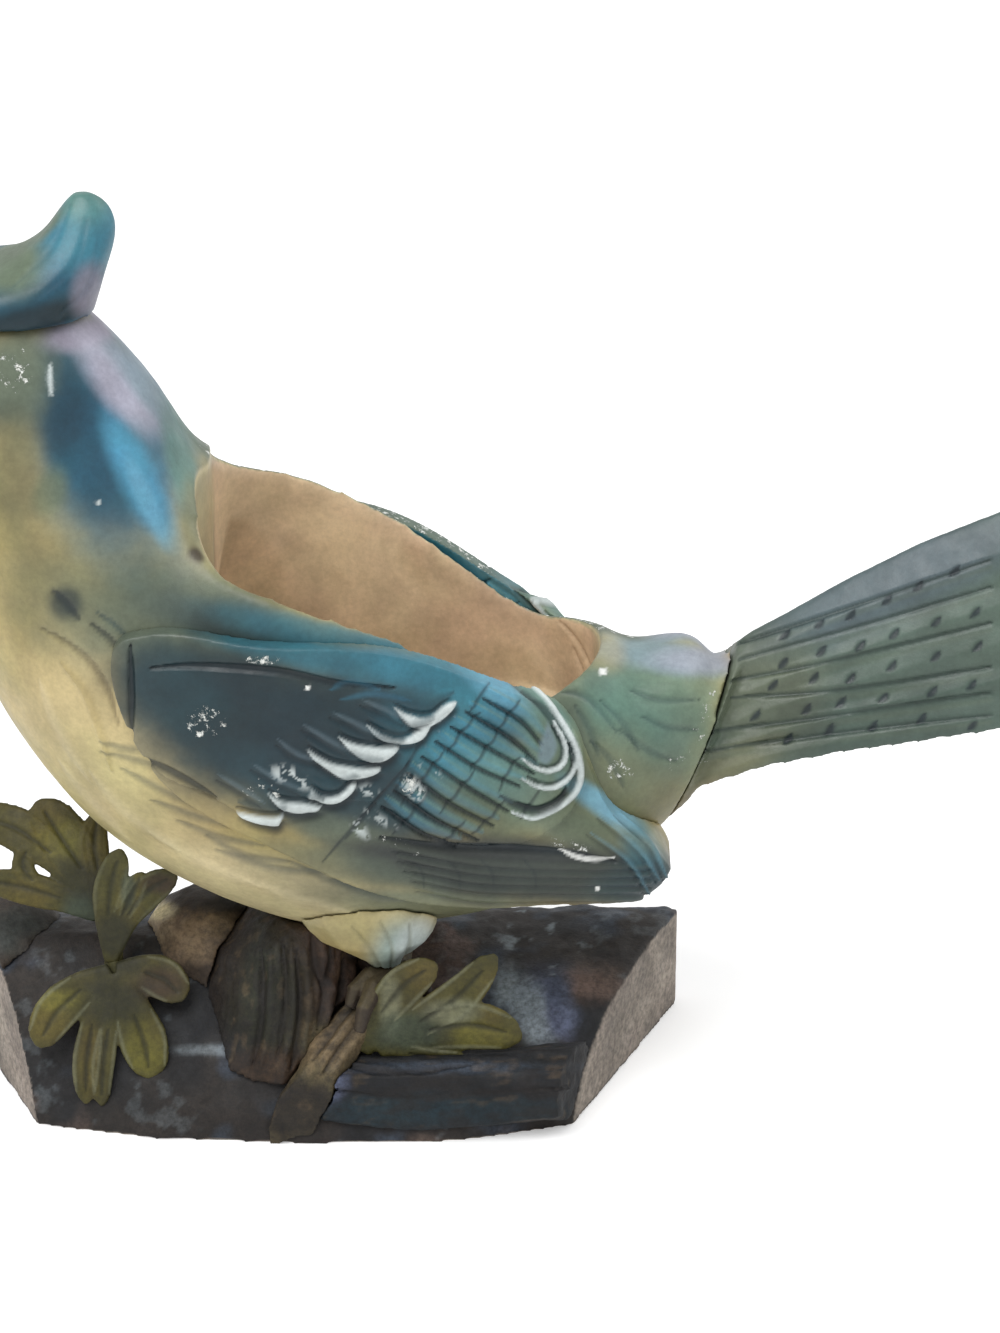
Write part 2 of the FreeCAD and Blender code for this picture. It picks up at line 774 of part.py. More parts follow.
# The branch comes up the front of the rock and crosses it under both feet.
PERCH_SHARES = [
    (-0.022, -0.560, 0.02, 0.50),
    (-0.006, -0.500, 0.34, 0.47),
    (0.026, -0.430, 0.66, 0.43),
    (0.062, -0.350, 0.92, 0.42),
    (0.092, -0.250, 1.08, 0.44),
    (0.104, -0.120, 1.11, 0.45),
    (0.106, 0.020, 1.10, 0.45),
    (0.106, 0.160, 1.10, 0.45),
    (0.104, 0.290, 1.07, 0.42),
    (0.100, 0.400, 0.98, 0.36),
]
perch_form = form("perch_form", bough(base_path(PERCH_SHARES, size("perch_size"))))
perch_seam = form("perch_seam", bough(base_path(PERCH_SHARES, size("perch_size")), SEAM))

LOG_SHARES = [
    (0.015, -0.400, 0.40, 0.42),
    (0.060, -0.415, 0.41, 0.50),
    (0.150, -0.420, 0.40, 0.52),
    (0.240, -0.410, 0.41, 0.50),
    (0.320, -0.385, 0.43, 0.51),
    (0.420, -0.340, 0.46, 0.48),
]
log_form = form("log_form", bough(base_path(LOG_SHARES, size("log_size"))))
log_seam = form("log_seam", bough(base_path(LOG_SHARES, size("log_size")), SEAM))

# Legs
LEG_ALONG_SHARE = 0.064
THIGH_SHARES = [
    (0.050, 0.180, 1.00, 0.60),
    (0.052, 0.135, 0.96, 0.58),
    (0.057, 0.102, 0.72, 0.52),
    (0.062, 0.082, 0.42, 0.38),
    (0.065, 0.068, 0.25, 0.24),
    (0.066, 0.060, 0.20, 0.20),
]


def thigh(grow=0.0):
    """The near thigh, narrowing down to the foot."""
    stations = []
    for x, z, half_x, half_y in THIGH_SHARES:
        middle = spot(x, z, -size("leg_apart") / 2)
        wide = size("thigh_wide")
        stations.append((middle.x, middle.y, middle.z, half_x * wide, half_y * wide))
    return stack(stations, grow)


# The toes' paths, as shares of the bird's length and height and of the legs' spacing.
TOE_SHARES = [
    [(0.068, 0.050, 0.50), (0.054, 0.052, 0.62), (0.042, 0.042, 0.72), (0.038, 0.024, 0.78)],
    [(0.068, 0.048, 0.52), (0.058, 0.048, 0.74), (0.050, 0.032, 0.88), (0.046, 0.006, 0.94)],
    [(0.066, 0.050, 0.50), (0.054, 0.052, 0.40), (0.044, 0.042, 0.32), (0.040, 0.026, 0.26)],
    [(0.062, 0.048, 0.50), (0.082, 0.050, 0.50), (0.096, 0.034, 0.52), (0.102, 0.012, 0.54)],
]
TOE_TAPER_SHARES = [0.58, 0.54, 0.48, 0.32]
ANKLE_SHARES = [(0.066, 0.036, 0.84), (0.066, 0.048, 0.78), (0.066, 0.058, 0.70)]


def toe(index, grow=0.0):
    """One toe, from the ankle to its claw."""
    path = []
    for (x, z, y), taper in zip(TOE_SHARES[index], TOE_TAPER_SHARES):
        path.append((spot(x, z, -y * size("leg_apart")), taper * size("toe_size")))
    return bough(path, grow, sides=7)


def ankle(grow=0.0):
    """The knob that joins the toes and carries the thigh."""
    stations = []
    for x, z, radius in ANKLE_SHARES:
        middle = spot(x, z, -left_leg)
        stations.append((middle.x, middle.y, middle.z) + (radius * size("toe_size"),) * 2)
    return stack(stations, grow, sides=8)


left_leg = size("leg_apart") / 2
toes = [form("toe_%d" % i, toe(i)) for i in range(len(TOE_SHARES))]
foot_form = fuse("foot_form", form("ankle_form", ankle()), *toes)
toe_seams = [form("toe_seam_%d" % i, toe(i, SEAM)) for i in range(len(TOE_SHARES))]
foot_seam = fuse("foot_seam", form("ankle_seam", ankle(SEAM)), *toe_seams)
thigh_form = form("thigh_form", thigh())
thigh_seam = form("thigh_seam", thigh(SEAM))
wire_foot = spot(LEG_ALONG_SHARE, 0.0, -left_leg) - Vector(0, 0, size("wire_bed"))
belly = reach_to(body_form.Shape, spot(LEG_ALONG_SHARE, 0.0, -left_leg), Vector(0, 0, 1))
wire_long = belly.z + size("wall") / 2 - wire_foot.z
LOBE_ROOT_SHARE = 0.96


def leaf(name, root, turn, lean, lobes, grow=0.0):
    """A bent lobed leaf, root first; each lobe has an angle, a reach and a breadth."""
    fingers = []
    for angle, reach, breadth in lobes:
        half_long = reach * size("leaf_size") / 2
        half_wide = breadth * size("leaf_size") / 2
        rim = Part.Ellipse(Vector(0, 0, 0), half_long + grow, half_wide + grow)
        finger = Part.Face(Part.Wire([rim.toShape()])).extrude(Vector(0, 0, ROOM))
        finger.rotate(Vector(0, 0, 0), Vector(0, 0, 1), angle)
        finger.translate(polar(angle, half_long * LOBE_ROOT_SHARE) - Vector(0, 0, ROOM / 2))
        fingers.append(finger)
    plate = fingers[0].multiFuse(fingers[1:]).removeSplitter()
    inner_radius = size("leaf_bend") - size("leaf_thick") - grow
    start, way = Vector(-ROOM / 2, 0, 0), Vector(1, 0, 0)
    outer = Part.makeCylinder(size("leaf_bend") + grow, ROOM, start, way)
    bent = outer.cut(Part.makeCylinder(inner_radius, ROOM, start, way))
    bent.translate(Vector(0, 0, -size("leaf_bend")))
    made = doc.addObject("Part::Feature", name)
    made.Shape = max(plate.common(bent).Solids, key=lambda solid: solid.BoundBox.ZMax)
    upright = Rotation(Vector(1, 0, 0), 90 - lean)
    made.Placement = FreeCAD.Placement(root, Rotation(Vector(0, 0, 1), turn) * upright)
    return made


def polar(angle, far):
    """A point of the leaf's plane, from its root."""
    turned = math.radians(angle)
    return Vector(far * math.cos(turned), far * math.sin(turned), 0)


def base_spot(x, y, z):
    """A point of the base, from shares of its width, depth and height."""
    return Vector(x * size("base_back_wide"), y * size("base_deep"), z * size("base_tall"))


# Each lobe's angle, and its reach and breadth as shares of the leaves' size.
UPPER_SHARES = [
    (93.0, 0.94, 0.22),
    (115.0, 1.10, 0.27),
    (136.0, 1.22, 0.28),
    (160.0, 0.98, 0.25),
    (185.0, 0.74, 0.24),
]
INNER_SHARES = [
    (46.0, 0.70, 0.26),
    (78.0, 0.68, 0.24),
]
HANGING_SHARES = [
    (218.0, 0.74, 0.26),
    (247.0, 0.86, 0.24),
    (269.0, 0.90, 0.20),
    (294.0, 0.80, 0.24),
    (328.0, 0.56, 0.22),
]
RIGHT_SHARES = [
    (-12.0, 0.80, 0.18),
    (4.0, 1.10, 0.22),
    (27.0, 1.16, 0.28),
    (47.0, 0.92, 0.24),
]
UPPER_ROOT = base_spot(-0.246, -0.165, 1.42)
UPPER_LEAN = 8.0
upper_leaf_form = leaf("upper_leaf_form", UPPER_ROOT, 0.0, UPPER_LEAN, UPPER_SHARES)
upper_leaf_seam = leaf("upper_leaf_seam", UPPER_ROOT, 0.0, UPPER_LEAN, UPPER_SHARES, SEAM)
inner_leaf_form = leaf(
    "inner_leaf_form", base_spot(-0.243, -0.200, 1.42), -4.0, 8.0, INNER_SHARES
)
hanging_leaf_form = leaf(
    "hanging_leaf_form", base_spot(-0.240, -0.275, 1.36), 4.0, 34.0, HANGING_SHARES
)
right_leaf_form = leaf(
    "right_leaf_form", base_spot(0.052, -0.400, 0.80), 0.0, 32.0, RIGHT_SHARES
)
STEM_SHARES = [
    (-0.240, -0.240, 0.80, 0.60),
    (-0.242, -0.225, 1.15, 0.55),
    (-0.244, -0.200, 1.45, 0.50),
    (-0.250, -0.180, 1.72, 0.40),
    (-0.256, -0.165, 1.98, 0.24),
]
stem_path = base_path(STEM_SHARES, size("stem_size"))
stem_form = form("stem_form", bough(stem_path, sides=7))
stem_seam = form("stem_seam", bough(stem_path, SEAM, sides=7))


# Each piece is trimmed to what it seats on, a seam's breadth away.
def rod(name, x, y, low, high, radius_words):
    """An upright round form between two heights."""
    made = doc.addObject("Part::Cylinder", name)
    bind(made, Radius=radius_words)
    made.Height = high - low
    made.Placement.Base = Vector(x, y, low)
    return made


wire_top = wire_foot.z + wire_long
left_leg_wire = rod("left_leg_wire", wire_foot.x, wire_foot.y, wire_foot.z, wire_top,
                    "sizes.wire_size / 2")
left_bore = rod("left_bore", wire_foot.x, wire_foot.y, wire_foot.z - SEAM, wire_top + SEAM,
                "sizes.wire_size / 2 + sizes.seam")
right_leg_wire = mirror("right_leg_wire", left_leg_wire)
right_bore = mirror("right_bore", left_bore)

body_shell = cut("body_shell", body_form, crown, planter_hollow, tail_bore, left_bore,
                 right_bore, left_socket, right_socket)

rock_base = cut("rock_base", rock_blank, left_bore, right_bore)
perch_trim = common("perch_trim", perch_form, plan)
perch_branch = cut("perch_branch", perch_trim, rock_seam, left_bore, right_bore)
stump = cut("stump", stump_form, rock_seam, perch_seam, body_seam, left_bore, right_bore)
right_boulder = cut("right_boulder", right_boulder_form, rock_seam, stump_seam, body_seam)
left_boulder = cut("left_boulder", common("boulder_trim", left_boulder_form, plan), rock_seam)
log_trim = common("log_trim", log_form, plan)
fallen_log = cut("fallen_log", log_trim, rock_seam, perch_seam, stump_seam)

left_thigh = cut("left_thigh", thigh_form, body_seam, stump_seam, left_bore)
right_thigh = mirror("right_thigh", left_thigh)
far_perch_seam = mirror("far_perch_seam", perch_seam)
left_foot = cut("left_foot", foot_form, thigh_seam, stump_seam, perch_seam, far_perch_seam,
                left_bore)
right_foot = mirror("right_foot", left_foot)
leaf_stem = cut("leaf_stem", stem_form, rock_seam)


def trimmed_leaf(name, source, *tools):
    """A leaf cut clear of what it lies against."""
    trimmed = cut(name + "_trim", source, rock_seam, *tools)
    doc.recompute()
    return form(name, max(trimmed.Shape.Solids, key=lambda solid: solid.Volume))


upper_leaf = trimmed_leaf("upper_leaf", upper_leaf_form, left_boulder_seam, stem_seam,
                          body_seam)
inner_leaf = trimmed_leaf("inner_leaf", inner_leaf_form, right_boulder_seam, stem_seam,
                          upper_leaf_seam, body_seam)
hanging_leaf = trimmed_leaf("hanging_leaf", hanging_leaf_form, stem_seam)
right_leaf = trimmed_leaf("right_leaf", right_leaf_form, log_seam, perch_seam, stump_seam,
                          foot_seam, left_bore)

NODES = [
    "body_shell", "crest", "beak_upper", "beak_lower", "left_eye", "right_eye",
    "left_wing", "right_wing", "tail", "tail_dowel", "left_thigh", "right_thigh",
    "left_foot", "right_foot", "left_leg_wire", "right_leg_wire", "rock_base",
    "left_boulder", "right_boulder", "stump", "perch_branch", "fallen_log",
    "leaf_stem", "upper_leaf", "inner_leaf", "hanging_leaf", "right_leaf",
]
doc.recompute()
faults = []
for thing in doc.Objects:
    if "Invalid" in thing.State or "Error" in thing.State:
        faults.append("%s is %s" % (thing.Name, thing.State))
os.makedirs("parts", exist_ok=True)
for name in NODES:
    piece = doc.getObject(name)
    piece.Label = name
    shape = piece.Shape
    if shape.isNull() or not shape.isValid():
        faults.append("%s has no sound shape" % name)
        continue
    print("%-16s solids %d faces %3d volume %8.0f" % (
        name, len(shape.Solids), len(shape.Faces), shape.Volume))
    shape.exportStep("parts/%s.step" % name)
if faults:
    raise SystemExit("; ".join(faults))
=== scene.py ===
import bpy
import bmesh
import json
import math
import numpy as np
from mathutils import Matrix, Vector

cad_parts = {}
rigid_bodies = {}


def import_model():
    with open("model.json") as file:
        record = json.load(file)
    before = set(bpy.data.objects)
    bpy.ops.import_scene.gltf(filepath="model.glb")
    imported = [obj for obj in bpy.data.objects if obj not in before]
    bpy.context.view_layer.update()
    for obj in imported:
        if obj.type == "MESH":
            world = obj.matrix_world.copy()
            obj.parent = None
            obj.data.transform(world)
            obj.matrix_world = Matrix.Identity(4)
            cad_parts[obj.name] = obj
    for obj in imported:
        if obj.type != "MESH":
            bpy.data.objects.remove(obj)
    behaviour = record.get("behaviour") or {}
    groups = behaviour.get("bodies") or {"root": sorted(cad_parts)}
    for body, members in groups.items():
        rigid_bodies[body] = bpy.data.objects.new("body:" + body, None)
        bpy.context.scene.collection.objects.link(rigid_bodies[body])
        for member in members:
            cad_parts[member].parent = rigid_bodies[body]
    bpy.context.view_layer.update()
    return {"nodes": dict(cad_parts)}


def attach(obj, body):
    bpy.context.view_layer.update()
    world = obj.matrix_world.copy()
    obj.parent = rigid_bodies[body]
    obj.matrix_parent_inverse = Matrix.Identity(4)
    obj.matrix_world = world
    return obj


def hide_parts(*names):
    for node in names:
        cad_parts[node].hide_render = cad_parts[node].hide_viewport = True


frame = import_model()
print("frame loaded:", len(frame["nodes"]), "pieces")

# view
photoView = {
    "raised": 26.0,                   # degrees above the table
    "away": 1.0,
    "lookAt": (0.0478, 0.0, 0.112),
    "lens": 112.53,
    "sensor": 36.0,
    "picture": (1000, 1333),
}
tilt = math.radians(photoView["raised"])
ahead = np.array([0.0, math.cos(tilt), -math.sin(tilt)])
upward = np.array([0.0, math.sin(tilt), math.cos(tilt)])
eyeSpot = np.array(photoView["lookAt"]) - ahead * photoView["away"]
focal = photoView["lens"] / photoView["sensor"] * photoView["picture"][1]
midU, midV = photoView["picture"][0] / 2, photoView["picture"][1] / 2


def makeCamera():
    data = bpy.data.cameras.new("photoCamera")
    data.lens = photoView["lens"]
    data.sensor_width = photoView["sensor"]
    camera = bpy.data.objects.new("photoCamera", data)
    camera.location = eyeSpot
    camera.rotation_euler = (math.pi / 2 - tilt, 0.0, 0.0)
    bpy.context.scene.collection.objects.link(camera)
    bpy.context.scene.camera = camera


def asSeen(spots, bothSides=True):
    # where spots of the figure lie in the picture; the far side is painted like the near one
    near = spots.copy()
    if bothSides:
        near[:, 1] = -np.abs(near[:, 1])
    rel = near - eyeSpot
    deep = rel @ ahead
    return np.stack([midU + focal * rel[:, 0] / deep, midV - focal * (rel @ upward) / deep], -1)


def atDepth(u, v, y):
    # the spot at a depth that shows at a place in the picture
    ray = ahead + np.array([1.0, 0, 0]) * (u - midU) / focal - upward * (v - midV) / focal
    return Vector(eyeSpot + ray * ((y - eyeSpot[1]) / ray[1]))


# colour
def tint(code):
    parts = [int(code[i:i + 2], 16) / 255 for i in (0, 2, 4)]
    return np.array([p / 12.92 if p <= 0.04045 else ((p + 0.055) / 1.055) ** 2.4 for p in parts])


paints = {name: tint(code) for name, code in {
    "cream": "b9ab7c", "paleCream": "cbbf97", "straw": "a3935c", "olive": "6d6a4c",
    "greyOlive": "576253", "deepBlue": "1b4658", "midBlue": "2b6277", "brightBlue": "4689a4",
    "skyBlue": "6faac2", "navy": "0f232a", "ink": "0f1d24", "slate": "1c363e",
    "mauve": "85808f", "lavender": "9e9cac", "greyBlue": "71858f", "frost": "c9d2d1",
    "white": "e6e8e4", "seaGreen": "53776e", "teal": "33707f", "crestBlue": "3a7287",
    "moss": "5a6650", "clay": "c9b090", "clayDeep": "aa8e6d", "clayPale": "dcc5a4",
    "umber": "2d231a", "bark": "38291c", "barkRed": "3a2b20", "darkBark": "171210",
    "barkOlive": "4a422d", "rockBrown": "241f1c", "rockBlack": "101216", "rockSlate": "363f4b",
    "rockPale": "8b969c", "rockPink": "796459", "rockLilac": "535b72", "boulderTan": "65543f",
    "sideGrey": "80766d", "sidePale": "958b80", "leafDark": "1d1e0e", "leafOlive": "413d19",
    "leafOchre": "53491d", "leafPale": "6f7058", "leafGreen": "303b30", "yellow": "605a22",
    "tailGreen": "506056", "tailDark": "22332e", "tailSlate": "4c5963", "tan": "8b7a60",
    "wingDark": "2e3331", "wingGreen": "5f7d73", "black": "121212",
}.items()}


# shapes
def meshOf(node):
    made = frame["nodes"][node].data.copy()
    work = bmesh.new()
    work.from_mesh(made)
    bmesh.ops.remove_doubles(work, verts=work.verts, dist=2e-6)
    work.to_mesh(made)
    work.free()
    return made


def newPiece(name, data):
    piece = bpy.data.objects.new(name, data)
    bpy.context.scene.collection.objects.link(piece)
    return piece


def applyAll(piece):
    graph = bpy.context.evaluated_depsgraph_get()
    made = bpy.data.meshes.new_from_object(piece.evaluated_get(graph))
    piece.modifiers.clear()
    old = piece.data
    piece.data = made
    bpy.data.meshes.remove(old)


def evenSkin(piece, grain, smooth):
    # an even net of small faces all over, with the sharp steps worn smooth
    net = piece.modifiers.new("net", "REMESH")
    net.mode = "VOXEL"
    net.voxel_size = grain
    applyAll(piece)
    if smooth:
        soft = piece.modifiers.new("soft", "SMOOTH")
        soft.factor = 0.5
        soft.iterations = smooth
        applyAll(piece)
    piece.data.shade_smooth()


def readSkin(piece, bothSides=True):
    count = len(piece.data.vertices)
    spots = np.empty(count * 3)
    normals = np.empty(count * 3)
    piece.data.vertices.foreach_get("co", spots)
    piece.data.vertex_normals.foreach_get("vector", normals)
    spots = spots.reshape(-1, 3)
    return {
        "piece": piece,
        "spots": spots,
        "normals": normals.reshape(-1, 3),
        "seen": asSeen(spots, bothSides),
        "colour": np.zeros((count, 3)),
        "lift": np.zeros(count),
        "chips": np.zeros(count),
    }


def smoothStep(x):
    x = np.clip(x, 0, 1)
    return x * x * (3 - 2 * x)


def clouds(spots, grain, seed=0, octaves=3):
    # soft noise between -1 and 1, each patch about grain metres across
    total, weight = np.zeros(len(spots)), 0.0
    for octave in range(octaves):
        where = spots / grain * 2 ** octave + seed * 17.31 + octave * 5.7
        cell = np.floor(where).astype(np.int64)
        part = where - cell
        part = part * part * (3 - 2 * part)
        value = np.zeros(len(spots))
        for dx in (0, 1):
            for dy in (0, 1):
                for dz in (0, 1):
                    key = (cell[:, 0] + dx) * 73856093 ^ (cell[:, 1] + dy) * 19349663
                    key = (key ^ (cell[:, 2] + dz) * 83492791) & 0x7FFFFFFF
                    key = (key * 1103515245 + 12345) & 0x7FFFFFFF
                    key = ((key >> 8) * 22695477 + 1) & 0x7FFFFFFF
                    share = ((part[:, 0] if dx else 1 - part[:, 0])
                             * (part[:, 1] if dy else 1 - part[:, 1])
                             * (part[:, 2] if dz else 1 - part[:, 2]))
                    value += share * ((key >> 7) % 4096 / 2047.5 - 1)
        total += value / 1.8 ** octave
        weight += 1 / 1.8 ** octave
    return total / weight


def wash(skin, name, amount):
    # lays one paint over the skin, more where amount is nearer 1
    amount = np.clip(amount, 0, 1)[:, None]
    skin["colour"] = skin["colour"] * (1 - amount) + paints[name] * amount


def curved(path, steps=6):
    # more points on a smooth line through a path
    points = [np.array(p, float) for p in path]
    if len(points) < 3:
        return np.array(points)
    ends = [2 * points[0] - points[1]] + points + [2 * points[-1] - points[-2]]
    made = []
    for a, b, c, d in zip(ends, ends[1:], ends[2:], ends[3:]):
        for k in range(steps):
            t = k / steps
            made.append(0.5 * ((2 * b) + (c - a) * t + (2 * a - 5 * b + 4 * c - d) * t * t
                               + (3 * b - a - 3 * c + d) * t ** 3))
    made.append(points[-1])
    return np.array(made)


def nearLine(seen, path):
    # each spot's distance to a line, and how far along the line it is
    runs = np.linalg.norm(np.diff(path, axis=0), axis=1)
    best, along, gone = np.full(len(seen), 1e9), np.zeros(len(seen)), 0.0
    for a, b, run in zip(path, path[1:], runs):
        if run <= 0:
            continue
        t = np.clip((seen - a) @ (b - a) / run ** 2, 0, 1)
        far = np.linalg.norm(seen - a - t[:, None] * (b - a), axis=1)
        closer = far < best
        best[closer] = far[closer]
        along[closer] = (gone + t * run)[closer]
        gone += run
    return best, along / max(gone, 1e-9)


def seenNear(skin, line, room, keep=None):
    # the numbers of the spots seen within reach of a line
    low, high = line.min(0) - room, line.max(0) + room
    hit = ((skin["seen"] > low) & (skin["seen"] < high)).all(1)
    return np.where(hit if keep is None else hit & keep)[0]


def layOn(skin, hit, cover, name, strength, lift):
    skin["lift"][hit] += cover * lift
    if name:
        amount = (cover * strength)[:, None]
        skin["colour"][hit] = skin["colour"][hit] * (1 - amount) + paints[name] * amount


def brush(skin, path, name, wide, strength=1.0, soft=0.5, taper=0.5, lift=0.0):
    # one brush stroke along a path in the picture: wide in picture points, lift in metres
    path = curved(path)
    hit = seenNear(skin, path, wide * 2)
    if not len(hit):
        return
    far, along = nearLine(skin["seen"][hit], path)
    half = wide / 2 * np.clip(np.sin(np.pi * np.clip(along, 0.02, 0.98)), 0, 1) ** taper
    cover = smoothStep((half * (1 + soft) - far) / np.maximum(half * soft * 2, 0.6))
    cover[far > wide * 2] = 0
    layOn(skin, hit, cover, name, strength, lift)


def strokes(skin, rows):
    for path, name, wide, strength, soft, taper, lift in rows:
        brush(skin, path, name, wide, strength, soft, taper, lift)


def patch(skin, outline, name, strength, soft, lift=0.0, keep=None):
    # a filled shape inside a closed outline in the picture
    outline = curved(list(outline) + [outline[0]], 4)
    hit = seenNear(skin, outline, soft * 2, keep)
    if not len(hit):
        return
    seen = skin["seen"][hit]
    far, _ = nearLine(seen, outline)
    within = np.zeros(len(seen), bool)
    for a, b in zip(outline, outline[1:]):
        between = (a[1] > seen[:, 1]) != (b[1] > seen[:, 1])
        across = a[0] + (seen[:, 1] - a[1]) * (b[0] - a[0]) / (b[1] - a[1] + 1e-9)
        within ^= between & (seen[:, 0] < across)
    cover = smoothStep((np.where(within, far, -far) + soft) / (2 * soft))
    layOn(skin, hit, cover, name, strength, lift)


def shifted(path, right, down):
    return [(u + right, v + down) for u, v in path]


def ovalFar(skin, centre, reach, turn):
    # each spot's distance from the middle of a turned oval in the picture, 1 on its edge
    off = skin["seen"] - np.array(centre, float)
    c, s = math.cos(math.radians(turn)), math.sin(math.radians(turn))
    x, y = off[:, 0] * c + off[:, 1] * s, -off[:, 0] * s + off[:, 1] * c
    return np.sqrt((x / reach[0]) ** 2 + (y / reach[1]) ** 2)


def mist(skin, centre, reach, name, strength=1.0, turn=0.0, ragged=0.0, keep=1.0):
    # a soft airbrushed patch
    far = ovalFar(skin, centre, reach, turn)
    if ragged:
        far = far + ragged * clouds(skin["spots"], 0.006, seed=int(centre[0]))
    wash(skin, name, strength * smoothStep(1.5 - far) * keep)


def mists(skin, rows, ragged, keep=1.0):
    for centre, reach, name, strength, turn in rows:
        mist(skin, centre, reach, name, strength, turn, ragged, keep)


def touches(skin, rows, strength, ragged):
    for centre, reach, name in rows:
        mist(skin, centre, reach, name, strength, 0, ragged)


def chipped(skin, rows):
    # worn places: where the paint may be off, and how readily
    for centre, reach, amount, turn in rows:
        worn = amount * smoothStep(1.4 - ovalFar(skin, centre, reach, turn))
        skin["chips"] = np.maximum(skin["chips"], worn)


def uneven(skin, rows, where=1.0):
    # the slight lumps of a cast: breadth, seed and height of each kind
    for grain, seed, high in rows:
        skin["lift"] += where * clouds(skin["spots"], grain, seed) * high


def netEnds(skin):
    # the two spots at the ends of each edge of the net
    data = skin["piece"].data
    ends = np.empty(len(data.edges) * 2, int)
    data.edges.foreach_get("vertices", ends)
    return ends.reshape(-1, 2)


def besideSum(ends, values):
    # for each spot, its neighbours' values added up
    return (np.bincount(ends[:, 0], values[ends[:, 1]], len(values))
            + np.bincount(ends[:, 1], values[ends[:, 0]], len(values)))


def sharpEdges(skin, spread):
    # the spots on and near a sharp edge
    ends, normals = netEnds(skin), skin["normals"]
    hit = np.zeros(len(normals), bool)
    bent = (normals[ends[:, 0]] * normals[ends[:, 1]]).sum(1) < 0.86
    hit[ends[bent].ravel()] = True
    for _ in range(spread):
        hit[ends[hit[ends].any(1)].ravel()] = True
    return hit


def evened(skin, values, turns):
    # each spot's value drawn toward its neighbours'
    ends = netEnds(skin)
    near = np.bincount(ends.ravel(), minlength=len(values)) + 1e-9
    for _ in range(turns):
        values = 0.4 * values + 0.6 * besideSum(ends, values) / near
    return values


def easeEdge(skin, hit, turns):
    # wears a thin edge round: each chosen spot moves toward its neighbours
    ends = netEnds(skin)
    ends = ends[hit[ends].any(1)]
    near = np.bincount(ends.ravel(), minlength=len(hit)).astype(float)
    spots = skin["spots"]
    for _ in range(turns):
        total = np.stack([besideSum(ends, spots[:, axis]) for axis in range(3)], -1)
        spots[hit] += 0.6 * (total[hit] / near[hit][:, None] - spots[hit])


def finishSkin(skin):
    # puts the paint and the carving on the mesh
    data = skin["piece"].data
    moved = skin["spots"] + skin["normals"] * skin["lift"][:, None]
    data.vertices.foreach_set("co", moved.ravel())
    colour = data.attributes.new("paint", "FLOAT_COLOR", "POINT")
    whole = np.ones((len(moved), 4))
    whole[:, :3] = np.clip(skin["colour"], 0, 1)
    colour.data.foreach_set("color", whole.ravel())
    chips = data.attributes.new("chips", "FLOAT", "POINT")
    chips.data.foreach_set("value", skin["chips"])
    data.update()


# paint on plaster
plasterLook = {
    "satin": {"rough": 0.42, "grain": 0.25, "streak": 0.16, "fleck": 0.10},
    "matt": {"rough": 0.62, "grain": 0.5, "streak": 0.20, "fleck": 0.25},
    "rock": {"rough": 0.66, "grain": 0.8, "streak": 0.24, "fleck": 0.45},
    "bare": ((0.62, 0.65, 0.62, 1), (0.80, 0.81, 0.76, 1)),   # plaster under the paint
    "shine": 0.42,
    "toothDeep": 0.00022,
    "chipDeep": 0.00025,
}


